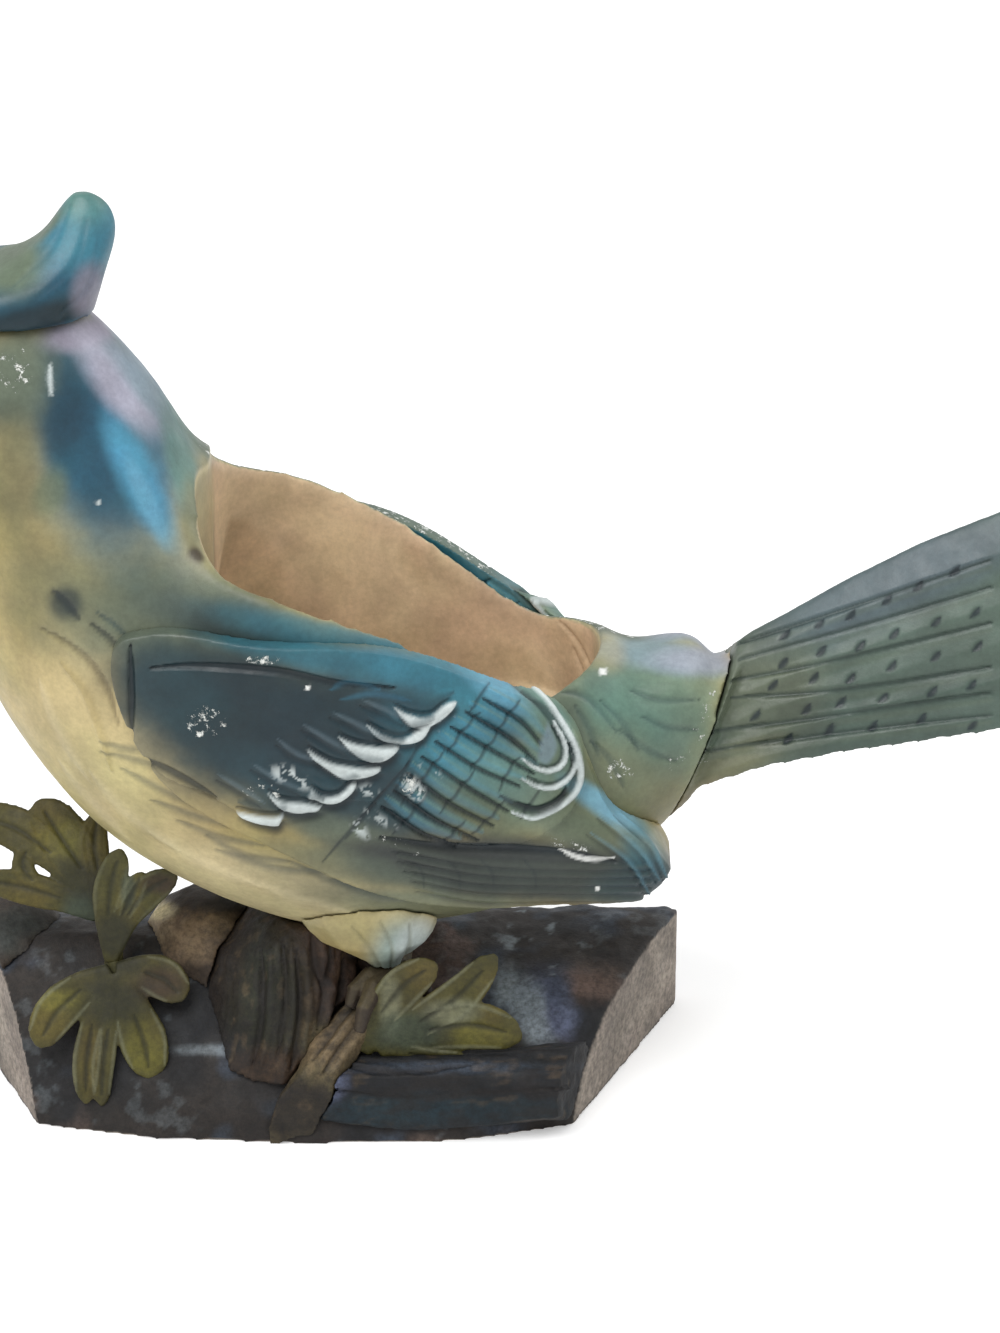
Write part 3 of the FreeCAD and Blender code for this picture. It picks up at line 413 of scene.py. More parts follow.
def paintedPlaster(name, look):
    mat = bpy.data.materials.new(name)
    mat.use_nodes = True
    nodes, links = mat.node_tree.nodes, mat.node_tree.links
    nodes.clear()

    def add(kind, **values):
        made = nodes.new(kind)
        for key, value in values.items():
            setattr(made, key, value)
        return made

    out = add("ShaderNodeOutputMaterial")
    shade = add("ShaderNodeBsdfPrincipled")
    links.new(shade.outputs[0], out.inputs[0])
    where = add("ShaderNodeTexCoord").outputs["Object"]
    paint = add("ShaderNodeAttribute", attribute_name="paint")
    chips = add("ShaderNodeAttribute", attribute_name="chips")

    def noise(scale, detail=3.0, rough=0.55, source=where):
        made = add("ShaderNodeTexNoise")
        made.inputs["Scale"].default_value = scale
        made.inputs["Detail"].default_value = detail
        made.inputs["Roughness"].default_value = rough
        links.new(source, made.inputs["Vector"])
        return made.outputs["Fac"]

    def ramp(source, low, high, lowValue, highValue):
        made = add("ShaderNodeMapRange")
        made.interpolation_type = "SMOOTHSTEP"
        made.inputs["From Min"].default_value = low
        made.inputs["From Max"].default_value = high
        made.inputs["To Min"].default_value = lowValue
        made.inputs["To Max"].default_value = highValue
        links.new(source, made.inputs["Value"])
        return made.outputs["Result"]

    def maths(kind, a, b):
        made = add("ShaderNodeMath", operation=kind)
        for i, value in enumerate((a, b)):
            if isinstance(value, float):
                made.inputs[i].default_value = value
            else:
                links.new(value, made.inputs[i])
        return made.outputs[0]

    def mixed(fac, a, b, blend="MIX"):
        made = add("ShaderNodeMix", data_type="RGBA", blend_type=blend)
        for slot, value in ((0, fac), (6, a), (7, b)):
            if isinstance(value, (float, tuple)):
                made.inputs[slot].default_value = value
            else:
                links.new(value, made.inputs[slot])
        return made.outputs[2]

    # broad unevenness of the airbrushed coats, then short dragged streaks
    broad = ramp(noise(70.0, 4.0), 0.3, 0.7, 1 - look["streak"], 1 + look["streak"])
    fine = ramp(noise(650.0, 4.0, 0.7), 0.25, 0.75, 1 - look["fleck"], 1 + look["fleck"])
    value = add("ShaderNodeHueSaturation")
    links.new(paint.outputs["Color"], value.inputs["Color"])
    links.new(maths("MULTIPLY", broad, fine), value.inputs["Value"])
    hue = ramp(noise(38.0, 3.0), 0.3, 0.7, 0.492, 0.508)
    links.new(hue, value.inputs["Hue"])

    # chips: bare plaster shows where the chips value beats the noise
    crumbs = noise(520.0, 5.0, 0.75)
    lost = ramp(maths("ADD", crumbs, chips.outputs["Fac"]), 1.02, 1.10, 0.0, 1.0)
    plaster = mixed(ramp(noise(900.0, 2.0), 0.35, 0.65, 0.0, 1.0), *plasterLook["bare"])
    links.new(mixed(lost, value.outputs[0], plaster), shade.inputs["Base Color"])

    sheen = ramp(noise(160.0, 4.0, 0.6), 0.3, 0.7, look["rough"] - 0.07, look["rough"] + 0.09)
    links.new(maths("MAXIMUM", sheen, maths("MULTIPLY", lost, 0.85)), shade.inputs["Roughness"])
    shade.inputs["Specular IOR Level"].default_value = plasterLook["shine"]

    tooth = add("ShaderNodeBump")
    tooth.inputs["Strength"].default_value = look["grain"]
    tooth.inputs["Distance"].default_value = plasterLook["toothDeep"]
    links.new(noise(1400.0, 3.0, 0.7), tooth.inputs["Height"])
    pits = add("ShaderNodeBump", invert=True)
    pits.inputs["Strength"].default_value = 0.6
    pits.inputs["Distance"].default_value = plasterLook["chipDeep"]
    links.new(lost, pits.inputs["Height"])
    links.new(tooth.outputs[0], pits.inputs["Normal"])
    links.new(pits.outputs[0], shade.inputs["Normal"])
    return mat


satinPaint = paintedPlaster("satinPaint", plasterLook["satin"])
mattPaint = paintedPlaster("mattPaint", plasterLook["matt"])
rockPaint = paintedPlaster("rockPaint", plasterLook["rock"])


def seated(skin, node, mat):
    # finishes a piece and sets it in its solid's place
    finishSkin(skin)
    piece = skin["piece"]
    piece.data.materials.clear()
    piece.data.materials.append(mat)
    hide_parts(node)
    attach(piece, "root")


def skinOf(name, node, grain, smooth, bothSides=True):
    piece = newPiece(name, meshOf(node))
    evenSkin(piece, grain, smooth)
    return readSkin(piece, bothSides)


# airbrushed bird
# Paint that runs over body, wings and tail alike, with a painted highlight down the nape, placed
# where the picture shows it.
birdCoatAndSheen = {
    "ragged": 0.12,
    "mists": [
        # centre, reach, paint, strength, turn
        ((60, 720), (150, 200), "cream", 0.9, 10),
        ((20, 540), (60, 130), "straw", 0.75, 0),
        ((150, 860), (170, 50), "cream", 0.8, 28),
        ((300, 900), (160, 34), "paleCream", 0.6, 15),
        ((180, 620), (150, 66), "greyOlive", 0.95, 12),
        ((60, 560), (60, 60), "olive", 0.55, 0),
        ((110, 430), (80, 120), "midBlue", 0.95, -22),
        ((84, 440), (42, 92), "deepBlue", 0.95, -14),
        ((58, 400), (24, 60), "navy", 0.5, 0),
        ((138, 478), (18, 64), "brightBlue", 0.95, -26),
        ((146, 500), (9, 42), "skyBlue", 0.5, -24),
        # painted highlight: the mauve and lavender streaks below the crest and down the nape stand
        # for light reflected off the satin paint
        ((84, 334), (40, 15), "mauve", 0.95, -10),
        ((122, 385), (22, 60), "lavender", 0.9, -40),
        ((156, 398), (13, 62), "greyBlue", 0.85, -42),
        ((183, 468), (14, 62), "seaGreen", 0.8, -14),
        ((194, 520), (12, 40), "olive", 0.7, -5),
        ((8, 385), (32, 48), "greyOlive", 0.95, 0),
        ((16, 476), (26, 56), "olive", 0.85, 0),
        ((50, 492), (16, 24), "moss", 0.7, 20),
    ],
}


def coatBirdAndSheen(skin):
    skin["colour"][:] = paints["straw"]
    mists(skin, birdCoatAndSheen["mists"], birdCoatAndSheen["ragged"])


# body
bodyParts = {
    "grain": 0.00075,
    "smooth": 4,
    "insideWay": [(-0.023, 0.110), (0.017, 0.095), (0.059, 0.087)],   # middle of the hollow
    "insideEnds": (-0.028, 0.0745),
    "rimLow": 0.105,
    "rimTurns": 60,
    "borderTurns": 8,
    "lumps": [(0.011, 2, 0.00016)],
    "ragged": 0.15,
    "rump": [   # with the belly behind the wing
        ((600, 740), (70, 90), "moss", 0.9, -30),
        ((650, 710), (80, 80), "seaGreen", 0.8, 20),
        ((620, 790), (70, 50), "olive", 0.6, 35),
        ((660, 655), (80, 16), "greyBlue", 0.8, 10),
        ((700, 660), (50, 14), "lavender", 0.5, 0),
        ((605, 650), (18, 22), "cream", 0.35, -40),
        ((560, 720), (26, 60), "greyOlive", 0.8, -20),
        # painted shade: the belly's lower edge under the wing darkened with grey olive
        ((470, 904), (160, 22), "greyOlive", 0.75, 2),
        ((380, 880), (120, 26), "greyOlive", 0.35, 6),
    ],
    "shoulder": [   # dark airbrushed band that runs into the wing
        ((250, 630), (110, 22), "slate", 0.6, 16),
        ((300, 650), (120, 22), "navy", 0.55, 14),
        ((340, 640), (120, 18), "teal", 0.6, 14),
        ((430, 664), (90, 26), "teal", 0.85, 16),
        ((480, 676), (60, 16), "skyBlue", 0.4, 22),
        ((220, 690), (100, 26), "slate", 0.7, 8),
        ((350, 600), (120, 16), "greyOlive", 0.5, 17),
    ],
    "throat": [   # path, paint, width, strength, soft, taper, lift
        ([(52, 590), (66, 604), (80, 622)], "ink", 9, 0.6, 0.5, 0.5, -0.0006),
        ([(40, 628), (62, 640), (88, 660), (108, 690), (118, 725)], "umber", 6, 0.4, 0.5, 0.5,
         -0.0006),
        ([(60, 660), (84, 690), (100, 730), (112, 770)], "straw", 8, 0.4, 0.5, 0.5, 0.0006),
        ([(88, 622), (110, 640), (128, 662)], "ink", 6, 0.6, 0.5, 0.5, -0.0007),
        ([(96, 612), (118, 628), (134, 648)], "slate", 5, 0.5, 0.5, 0.5, -0.0004),
    ],
    # paint, width, strength, soft, taper, lift
    "breastGroove": ("slate", 7, 0.45, 0.9, 0.5, -0.0004),
    "breastTuft": ("paleCream", 9, 0.35, 0.9, 0.5, 0.0003),
    "rumpGroove": ("slate", 6, 0.35, 0.9, 0.5, -0.0006),
    "breastGrooves": [
        [(100, 752), (150, 765), (205, 785)], [(120, 768), (160, 790), (210, 812)],
        [(150, 800), (190, 815), (235, 828)], [(175, 820), (220, 838), (265, 846)],
        [(205, 836), (245, 856), (290, 862)], [(215, 850), (270, 868), (330, 874)],
        [(290, 862), (340, 884), (395, 888)], [(330, 880), (380, 896), (440, 896)],
        [(100, 742), (128, 750), (160, 748)],
    ],
    "breastTufts": [
        [(60, 760), (90, 800), (130, 840)], [(90, 770), (130, 815), (180, 850)],
        [(40, 680), (60, 730), (90, 780)], [(250, 880), (300, 900), (350, 912)],
        [(150, 830), (200, 862), (260, 886)],
    ],
    "rumpGrooves": [
        [(560, 690), (590, 700), (620, 735)], [(590, 740), (610, 760), (625, 790)],
        [(600, 700), (622, 722), (640, 752)], [(630, 690), (660, 700), (700, 700)],
        [(640, 715), (668, 728), (700, 730)], [(620, 730), (650, 752), (678, 762)],
        [(575, 705), (590, 730), (600, 760)],
    ],
    "specks": [
        ([(50, 362), (50, 380), (52, 398)], "frost", 5, 0.7, 0.8, 0.5, 0),
        ([(96, 500), (101, 505)], "frost", 5, 0.9, 0.5, 0.5, 0),
        ([(601, 669), (605, 674)], "white", 9, 1.0, 0.5, 0.5, 0),
    ],
    "wear": [
        ((14, 372), (34, 42), 0.48, 0), ((60, 470), (50, 40), 0.33, 0),
        ((620, 770), (22, 18), 0.50, 0), ((705, 715), (12, 46), 0.46, 18),
        ((680, 760), (30, 12), 0.44, -40),
    ],
}


def insideOf(skin):
    # above 0 on the planter's inner skin, below 0 outside
    way, (front, back) = bodyParts["insideWay"], bodyParts["insideEnds"]
    x = skin["spots"][:, 0]
    out = skin["spots"].copy()
    out[:, 0] = 0
    out[:, 2] -= np.interp(x, [p[0] for p in way], [p[1] for p in way])
    out /= np.linalg.norm(out, axis=1)[:, None] + 1e-9
    facing = -(out * skin["normals"]).sum(1)
    within = smoothStep((x - front) / 0.004) * smoothStep((back - x) / 0.003)
    return evened(skin, np.where(within > 0.5, facing, -1.0), bodyParts["borderTurns"])


def paintFeathers(skin):
    mists(skin, bodyParts["rump"], bodyParts["ragged"])
    mists(skin, bodyParts["shoulder"], bodyParts["ragged"])
    mist(skin, (66, 603), (17, 15), "navy", 0.75, 30, ragged=0.2)   # blotch on the throat
    strokes(skin, bodyParts["throat"])
    for path in bodyParts["breastGrooves"]:
        brush(skin, path, *bodyParts["breastGroove"])
    for path in bodyParts["breastTufts"]:
        brush(skin, path, *bodyParts["breastTuft"])
    mist(skin, (12, 375), (38, 46), "greyOlive", 0.6, 0, ragged=0.4)   # worn nape
    for path in bodyParts["rumpGrooves"]:
        brush(skin, path, *bodyParts["rumpGroove"])
    strokes(skin, bodyParts["specks"])
    chipped(skin, bodyParts["wear"])


def paintRim(skin, inside, outside):
    # a thin pale edge along the rim as painted highlight, the far side greyer and chipped
    spots = skin["spots"]
    farSide = smoothStep(spots[:, 1] / 0.006) * smoothStep((spots[:, 0] + 0.03) / 0.01)
    farSide = farSide * (1 - smoothStep((spots[:, 0] - 0.078) / 0.01))
    top = smoothStep((skin["normals"][:, 2] - 0.2) / 0.3)
    wash(skin, "greyOlive", 0.95 * farSide * outside * top)
    skin["chips"] = np.maximum(skin["chips"], 0.5 * farSide * outside * top)
    # painted highlight: the rim's edge made pale where it catches the light
    edge = np.exp(-((inside + 0.12) / 0.14) ** 2)
    edge *= smoothStep((spots[:, 2] - 0.1) / 0.006)
    wash(skin, "paleCream", 0.8 * edge)


def paintHollow(skin, inside):
    # warm bare slip, with painted shade making it darker low down in the hollow, and stained
    spots = skin["spots"]
    amount = smoothStep((inside + 0.05) / 0.16)
    wash(skin, "clay", amount)
    # painted shade: darker the deeper the spot lies in the hollow
    deep = 1 - smoothStep((spots[:, 2] - 0.07) / 0.05)
    wash(skin, "clayDeep", 0.55 * amount * deep)
    stain = smoothStep((clouds(spots, 0.02, 4) + 0.1) / 0.5)
    wash(skin, "clayPale", 0.4 * amount * stain)
    stain = smoothStep((clouds(spots, 0.012, 9) - 0.15) / 0.4)
    wash(skin, "clayDeep", 0.22 * amount * stain)
    skin["chips"] *= 1 - amount


def makeBody():
    skin = skinOf("bodyShell", "body_shell", bodyParts["grain"], bodyParts["smooth"])
    inside = insideOf(skin)
    thin = sharpEdges(skin, 5) & (skin["spots"][:, 2] > bodyParts["rimLow"])
    easeEdge(skin, thin, bodyParts["rimTurns"])
    outside = 1 - smoothStep((inside + 0.25) / 0.3)
    coatBirdAndSheen(skin)
    paintFeathers(skin)
    paintRim(skin, inside, outside)
    paintHollow(skin, inside)
    mist(skin, (197, 554), (9, 8), "umber", 0.85, 0, 0.2, outside)   # chip on the rim
    uneven(skin, bodyParts["lumps"])
    seated(skin, "body_shell", satinPaint)
    print("body:", len(skin["spots"]), "spots")


makeBody()


# crest, beak and eyes
headParts = {
    "crestGrain": 0.0006,
    "beakGrain": 0.0004,
    "eyeGrain": 0.00025,
    "crestLumps": [(0.009, 3, 0.00012)],
    "ragged": 0.12,
    "cap": [
        ((86, 196), (26, 34), "seaGreen", 0.95, 0),
        ((84, 250), (30, 46), "teal", 0.6, 10),
        ((45, 300), (80, 26), "deepBlue", 0.9, -12),
        ((30, 322), (80, 16), "navy", 0.9, -14),
        ((88, 290), (16, 26), "mauve", 0.7, 12),
        ((10, 262), (34, 34), "moss", 0.95, -36),
        ((44, 226), (26, 9), "moss", 0.85, -45),
        ((2, 240), (26, 14), "greyOlive", 0.8, -30),
    ],
    "capStreak": ("deepBlue", 6, 0.15, 0.9, 0.5, -0.0002),
    "capStreaks": [
        [(70, 205), (50, 250), (10, 290)], [(88, 215), (74, 265), (30, 305)],
        [(98, 240), (88, 285), (60, 315)],
    ],
}


def makeCrest():
    skin = skinOf("crestCap", "crest", headParts["crestGrain"], 3)
    easeEdge(skin, sharpEdges(skin, 4), 20)
    skin["colour"][:] = paints["crestBlue"]
    mists(skin, headParts["cap"], headParts["ragged"])
    for path in headParts["capStreaks"]:
        brush(skin, path, *headParts["capStreak"])
    uneven(skin, headParts["crestLumps"])
    seated(skin, "crest", satinPaint)


def makeBeak():
    for name, node in (("upperBeak", "beak_upper"), ("lowerBeak", "beak_lower")):
        skin = skinOf(name, node, headParts["beakGrain"], 3)
        skin["colour"][:] = paints["ink"]
        # painted highlight: the upward faces of the black beak made lighter slate
        wash(skin, "slate", 0.35 * smoothStep((skin["normals"][:, 2] - 0.2) / 0.6))
        wash(skin, "umber", 0.3 * smoothStep(clouds(skin["spots"], 0.004, 6)))
        seated(skin, node, satinPaint)


def makeEyes():
    for name, node in (("leftEye", "left_eye"), ("rightEye", "right_eye")):
        skin = skinOf(name, node, headParts["eyeGrain"], 3)
        skin["colour"][:] = paints["black"]
        ring = np.linalg.norm(skin["spots"] - skin["spots"].mean(0), axis=1)
        wash(skin, "umber", 0.7 * smoothStep((ring - np.quantile(ring, 0.7)) / 0.0006))
        seated(skin, node, satinPaint)


makeCrest()
makeBeak()
makeEyes()
print("head done")


# wings
wingParts = {
    "grain": 0.0005,
    "smooth": 4,
    "lumps": [(0.007, 5, 0.00012)],
    # paint, width, strength, soft, taper, lift
    "outerShaft": ("greyOlive", 7, 0.2, 0.9, 0.3, 0.0004),
    "outerGroove": ("ink", 4, 0.35, 0.9, 0.3, -0.0004),
    "ridge": ("brightBlue", 9, 0.28, 0.9, 0.4, 0.0006),
    "ridgeGroove": ("ink", 4.5, 0.8, 0.7, 0.25, -0.0009),
    "ridgeLight": ("wingGreen", 3, 0.5, 0.9, 0.4, 0.0),
    "crossBar": ("ink", 3.6, 0.6, 0.8, 0.35, -0.0003),
    "borderGroove": ("ink", 7, 0.75, 0.5, 0.3, -0.0008),
    "outerBar": ("ink", 3, 0.35, 0.5, 0.4, 0.0),
    "tipShaft": ("skyBlue", 4, 0.22, 0.9, 0.5, 0.0004),
    "tipGroove": ("ink", 4, 0.35, 0.9, 0.5, -0.0004),
    "covert": ("slate", 12, 0.55, 0.9, 0.5, 0.0005),
    "covertEdge": ("ink", 5, 0.6, 0.8, 0.5, -0.0004),
    "covertShaft": ("ink", 5, 0.5, 0.9, 0.5, -0.0004),
    "covertLight": ("greyBlue", 5, 0.25, 0.9, 0.5, 0.0003),
    # paint, strength, soft, lift
    "covertShadow": ("ink", 0.85, 4, -0.0006),
    "covertTip": ("frost", 0.95, 1.3, 0.0009),
    "wornTip": ("frost", 0.75, 5, 0.0),
    "crescents": [   # worn white covert tips, as outlines in the picture
        [(394, 707), (405, 713), (420, 717), (432, 715), (441, 707), (450, 702), (456, 702),
         (451, 712), (440, 722), (430, 727), (420, 729), (410, 726), (401, 717)],
        [(367, 725), (380, 733), (395, 738), (408, 737), (418, 731), (430, 727), (425, 738),
         (415, 743), (400, 744), (386, 742), (375, 735)],
        [(339, 737), (350, 742), (362, 745), (380, 747), (398, 747), (394, 755), (386, 761),
         (376, 763), (364, 760), (353, 753), (345, 745)],
        [(307, 749), (318, 756), (332, 763), (348, 766), (362, 768), (380, 768), (377, 773),
         (366, 778), (350, 780), (338, 777), (326, 769), (314, 760)],
        [(312, 789), (322, 796), (335, 796), (345, 790), (352, 784), (356, 785), (352, 793),
         (342, 801), (330, 804), (318, 802), (308, 797)],
        [(268, 793), (280, 800), (292, 802), (305, 803), (318, 806), (321, 808), (312, 812),
         (298, 814), (285, 811), (275, 803)],
        [(237, 811), (250, 814), (262, 816), (275, 817), (282, 815), (282, 819), (277, 826),
         (266, 825), (252, 821), (243, 816)],
    ],
    "wornPatches": [
        [(272, 768), (285, 766), (298, 772), (300, 780), (288, 782), (275, 778)],
        [(402, 780), (412, 776), (424, 790), (418, 800), (406, 792)],
        [(420, 765), (431, 768), (440, 776), (428, 772)],
        [(364, 810), (380, 816), (396, 828), (380, 822)],
        [(352, 820), (362, 824), (368, 838), (356, 832)],
        [(360, 788), (368, 786), (378, 793), (366, 796)],
        [(292, 772), (304, 778), (308, 788), (296, 784)],
    ],
    "loops": [   # rounded ends of the inner feathers: path, width, paint
        ([(500, 668), (530, 690), (551, 712), (566, 738), (575, 760)], 9, "wingGreen"),
        ([(518, 676), (545, 699), (562, 722), (576, 748), (581, 772), (577, 790), (566, 802),
          (550, 812), (532, 818), (512, 812)], 5.5, "frost"),
        ([(572, 738), (577, 757), (574, 771), (566, 781), (552, 788), (536, 786), (522, 778)],
         4.5, "frost"),
        ([(554, 721), (565, 742), (566, 756), (560, 767), (546, 771), (532, 766), (522, 758)],
         4.5, "frost"),
    ],
    "ridges": [   # long feathers that run down to the right
        [(455, 718), (500, 744), (538, 765)], [(440, 733), (482, 760), (524, 778)],
        [(426, 748), (470, 778), (512, 803)], [(470, 703), (512, 728), (540, 752)],
        [(412, 765), (455, 796), (498, 818)], [(398, 782), (440, 812), (482, 832)],
        [(386, 798), (424, 824), (460, 838)], [(488, 690), (525, 712), (546, 736)],
    ],
    "ragged": 0.15,
    "airbrush": [
        ((300, 740), (210, 80), "slate", 1.0, 12),
        ((430, 700), (110, 40), "slate", 0.9, 20),
        ((250, 700), (150, 46), "navy", 0.8, 14),
        ((250, 750), (90, 34), "navy", 0.7, 20),
        ((170, 690), (50, 36), "slate", 0.7, 20),
        ((300, 650), (120, 14), "slate", 0.85, 12),
        ((340, 662), (120, 16), "teal", 0.6, 12),
        ((430, 672), (80, 18), "teal", 0.9, 16),
        ((480, 690), (70, 26), "teal", 0.9, 28),
        ((500, 690), (44, 14), "skyBlue", 0.5, 32),
        ((460, 750), (70, 40), "teal", 0.85, 32),
        ((520, 790), (60, 34), "wingGreen", 0.8, 28),
        ((480, 815), (60, 24), "moss", 0.75, 28),
        ((555, 740), (30, 54), "wingGreen", 1.0, -14),
        ((548, 745), (14, 26), "moss", 0.8, -14),
        ((330, 800), (110, 34), "slate", 0.8, 20),
        ((400, 800), (50, 30), "slate", 0.75, 30),
        ((350, 838), (70, 16), "greyOlive", 0.8, 20),
        ((540, 868), (150, 30), "wingDark", 1.0, 3),
        ((430, 866), (100, 20), "wingDark", 0.85, 8),
        ((590, 835), (50, 18), "greyOlive", 0.85, 12),
        ((590, 800), (44, 40), "moss", 0.9, 20),
        ((520, 872), (170, 28), "wingDark", 1.0, 4),
        ((440, 872), (60, 16), "wingDark", 0.8, 10),
        ((606, 806), (46, 11), "skyBlue", 0.7, 33),
        ((645, 850), (20, 30), "teal", 0.6, -20),
        ((640, 884), (46, 24), "slate", 0.85, -10),
        ((430, 902), (110, 10), "greyOlive", 0.8, 3),
        ((350, 868), (90, 16), "greyOlive", 0.6, 14),
    ],
    "crossBars": [
        [(410, 762), (368, 810), (322, 863)], [(454, 704), (420, 745), (395, 790)],
        [(480, 712), (462, 732), (448, 752)], [(500, 730), (484, 752), (470, 770)],
        [(475, 770), (455, 795), (440, 812)], [(445, 750), (420, 782), (400, 806)],
        [(505, 800), (490, 818), (470, 836)], [(520, 700), (508, 716), (498, 730)],
        [(540, 790), (530, 805), (520, 820)], [(430, 790), (408, 818), (392, 835)],
        [(385, 790), (360, 822), (345, 840)], [(465, 820), (450, 836), (440, 842)],
        [(490, 682), (478, 700), (470, 712)], [(520, 756), (508, 772), (500, 790)],
    ],
    "border": [(380, 838), (438, 846), (500, 848), (560, 852), (615, 862)],
    "tipShafts": [
        [(600, 815), (640, 850), (660, 880)], [(618, 812), (650, 842), (668, 880)],
        [(590, 832), (630, 862), (650, 895)],
    ],
    "covertShafts": [
        [(300, 730), (325, 745), (350, 758)], [(330, 718), (355, 730), (380, 742)],
        [(360, 706), (384, 716), (402, 726)], [(275, 745), (295, 760), (320, 768)],
        [(250, 770), (275, 785), (300, 795)], [(215, 780), (240, 795), (262, 808)],
    ],
    "loopMiddle": [(548, 722), (557, 745), (548, 764), (538, 758), (542, 738)],
    "lines": [   # under the loops, along the shoulder, then worn specks
        ([(500, 795), (515, 805), (535, 811), (552, 807), (562, 798), (566, 787)],
         "ink", 9, 0.75, 0.6, 0.5, -0.0006),
        ([(150, 668), (200, 666), (280, 672), (339, 684), (394, 688)], "ink", 8, 0.75,
         0.5, 0.4, -0.0009),
        ([(130, 645), (131, 700), (130, 750)], "ink", 7, 0.8, 0.5, 0.4, -0.001),
        ([(132, 756), (170, 772), (216, 798)], "ink", 8, 0.7, 0.5, 0.4, -0.0008),
        ([(330, 690), (352, 682), (380, 690)], "midBlue", 6, 0.5, 0.9, 0.5, 0),
        ([(340, 700), (372, 694), (410, 700)], "midBlue", 6, 0.5, 0.9, 0.5, 0),
        ([(560, 850), (575, 857), (594, 860), (614, 858)], "white", 3.5, 0.9, 0.5, 0.2, 0),
        ([(306, 686), (309, 689)], "white", 5, 1.0, 0.5, 0.5, 0),
        ([(596, 887), (599, 889)], "white", 4, 1.0, 0.5, 0.5, 0),
    ],
    "wear": [
        ((262, 660), (34, 8), 0.52, 0), ((205, 722), (34, 24), 0.50, -20),
        ((262, 790), (34, 20), 0.46, 10), ((412, 786), (18, 16), 0.50, 0),
        ((570, 845), (40, 10), 0.48, 12), ((400, 845), (60, 14), 0.42, 20),
    ],
}


def outerFeathers(skin):
    # broad soft shafts low on the wing
    for k in range(5):
        path = [(392 + 6 * k, 846 + 10 * k), (480, 862 + 9 * k), (570, 866 + 8 * k),
                (650, 866 + 8 * k)]
        brush(skin, path, *wingParts["outerShaft"])
        brush(skin, shifted(path, 0, 6), *wingParts["outerGroove"])


def innerFeathers(skin):
    # each a light ridge with a dark groove below, crossed by dark bars
    for path in wingParts["ridges"]:
        brush(skin, shifted(path, -4, 9), *wingParts["ridgeGroove"])
        brush(skin, path, *wingParts["ridge"])
        brush(skin, shifted(path, 1, -3), *wingParts["ridgeLight"])
    for path in wingParts["crossBars"]:
        brush(skin, path, *wingParts["crossBar"])
    brush(skin, wingParts["border"], *wingParts["borderGroove"])
    for u in (410, 446, 480, 522):
        brush(skin, [(u, 858), (u + 12, 872), (u + 14, 888)], *wingParts["outerBar"])
    for path in wingParts["tipShafts"]:
        brush(skin, path, *wingParts["tipShaft"])
        brush(skin, shifted(path, -4, 3), *wingParts["tipGroove"])


def scallopedCoverts(skin):
    # each white tip has its own dark feather above and shadow below
    for outline in wingParts["crescents"]:
        brush(skin, shifted(outline[:6], 2, -10), *wingParts["covert"])
        brush(skin, shifted(outline[:6], 0, -4), *wingParts["covertEdge"])
        patch(skin, shifted(outline, 2, 7), *wingParts["covertShadow"])
        patch(skin, outline, *wingParts["covertTip"])
    crumbled = clouds(skin["spots"], 0.0011, 61) > 0.02
    for outline in wingParts["wornPatches"]:
        patch(skin, outline, *wingParts["wornTip"], crumbled)
    for path in wingParts["covertShafts"]:
        brush(skin, path, *wingParts["covertShaft"])
        brush(skin, shifted(path, 3, -6), *wingParts["covertLight"])


def featherLoops(skin):
    # rounded inner feathers, outlined in white round a grey middle
    patch(skin, wingParts["loopMiddle"], "greyBlue", 0.7, 3)
    for path, wide, name in wingParts["loops"]:
        line = np.array(path, float)
        middle = line.mean(0)
        brush(skin, list(line + (middle - line) * 0.16), "ink", wide * 1.4, 0.6, taper=0.3,
              lift=-0.0006)
        brush(skin, path, name, wide, 0.9, soft=0.5, taper=0.3, lift=0.0007)


def paintWing(skin, farSide):
    spots = skin["spots"]
    coatBirdAndSheen(skin)
    mists(skin, wingParts["airbrush"], wingParts["ragged"])
    outerFeathers(skin)
    innerFeathers(skin)
    scallopedCoverts(skin)
    featherLoops(skin)
    strokes(skin, wingParts["lines"])
    chipped(skin, wingParts["wear"])
    if farSide:
        top = smoothStep((skin["normals"][:, 2] - 0.15) / 0.3)
        top = top * smoothStep((spots[:, 2] - 0.115) / 0.01)
        wash(skin, "greyOlive", 0.9 * top)
        skin["chips"] = np.maximum(skin["chips"], 0.48 * top)
    uneven(skin, wingParts["lumps"])


def makeWings():
    for name, node in (("leftWing", "left_wing"), ("rightWing", "right_wing")):
        skin = skinOf(name, node, wingParts["grain"], wingParts["smooth"])
        paintWing(skin, node == "right_wing")
        seated(skin, node, satinPaint)
        print("wing:", len(skin["spots"]), "spots")


makeWings()


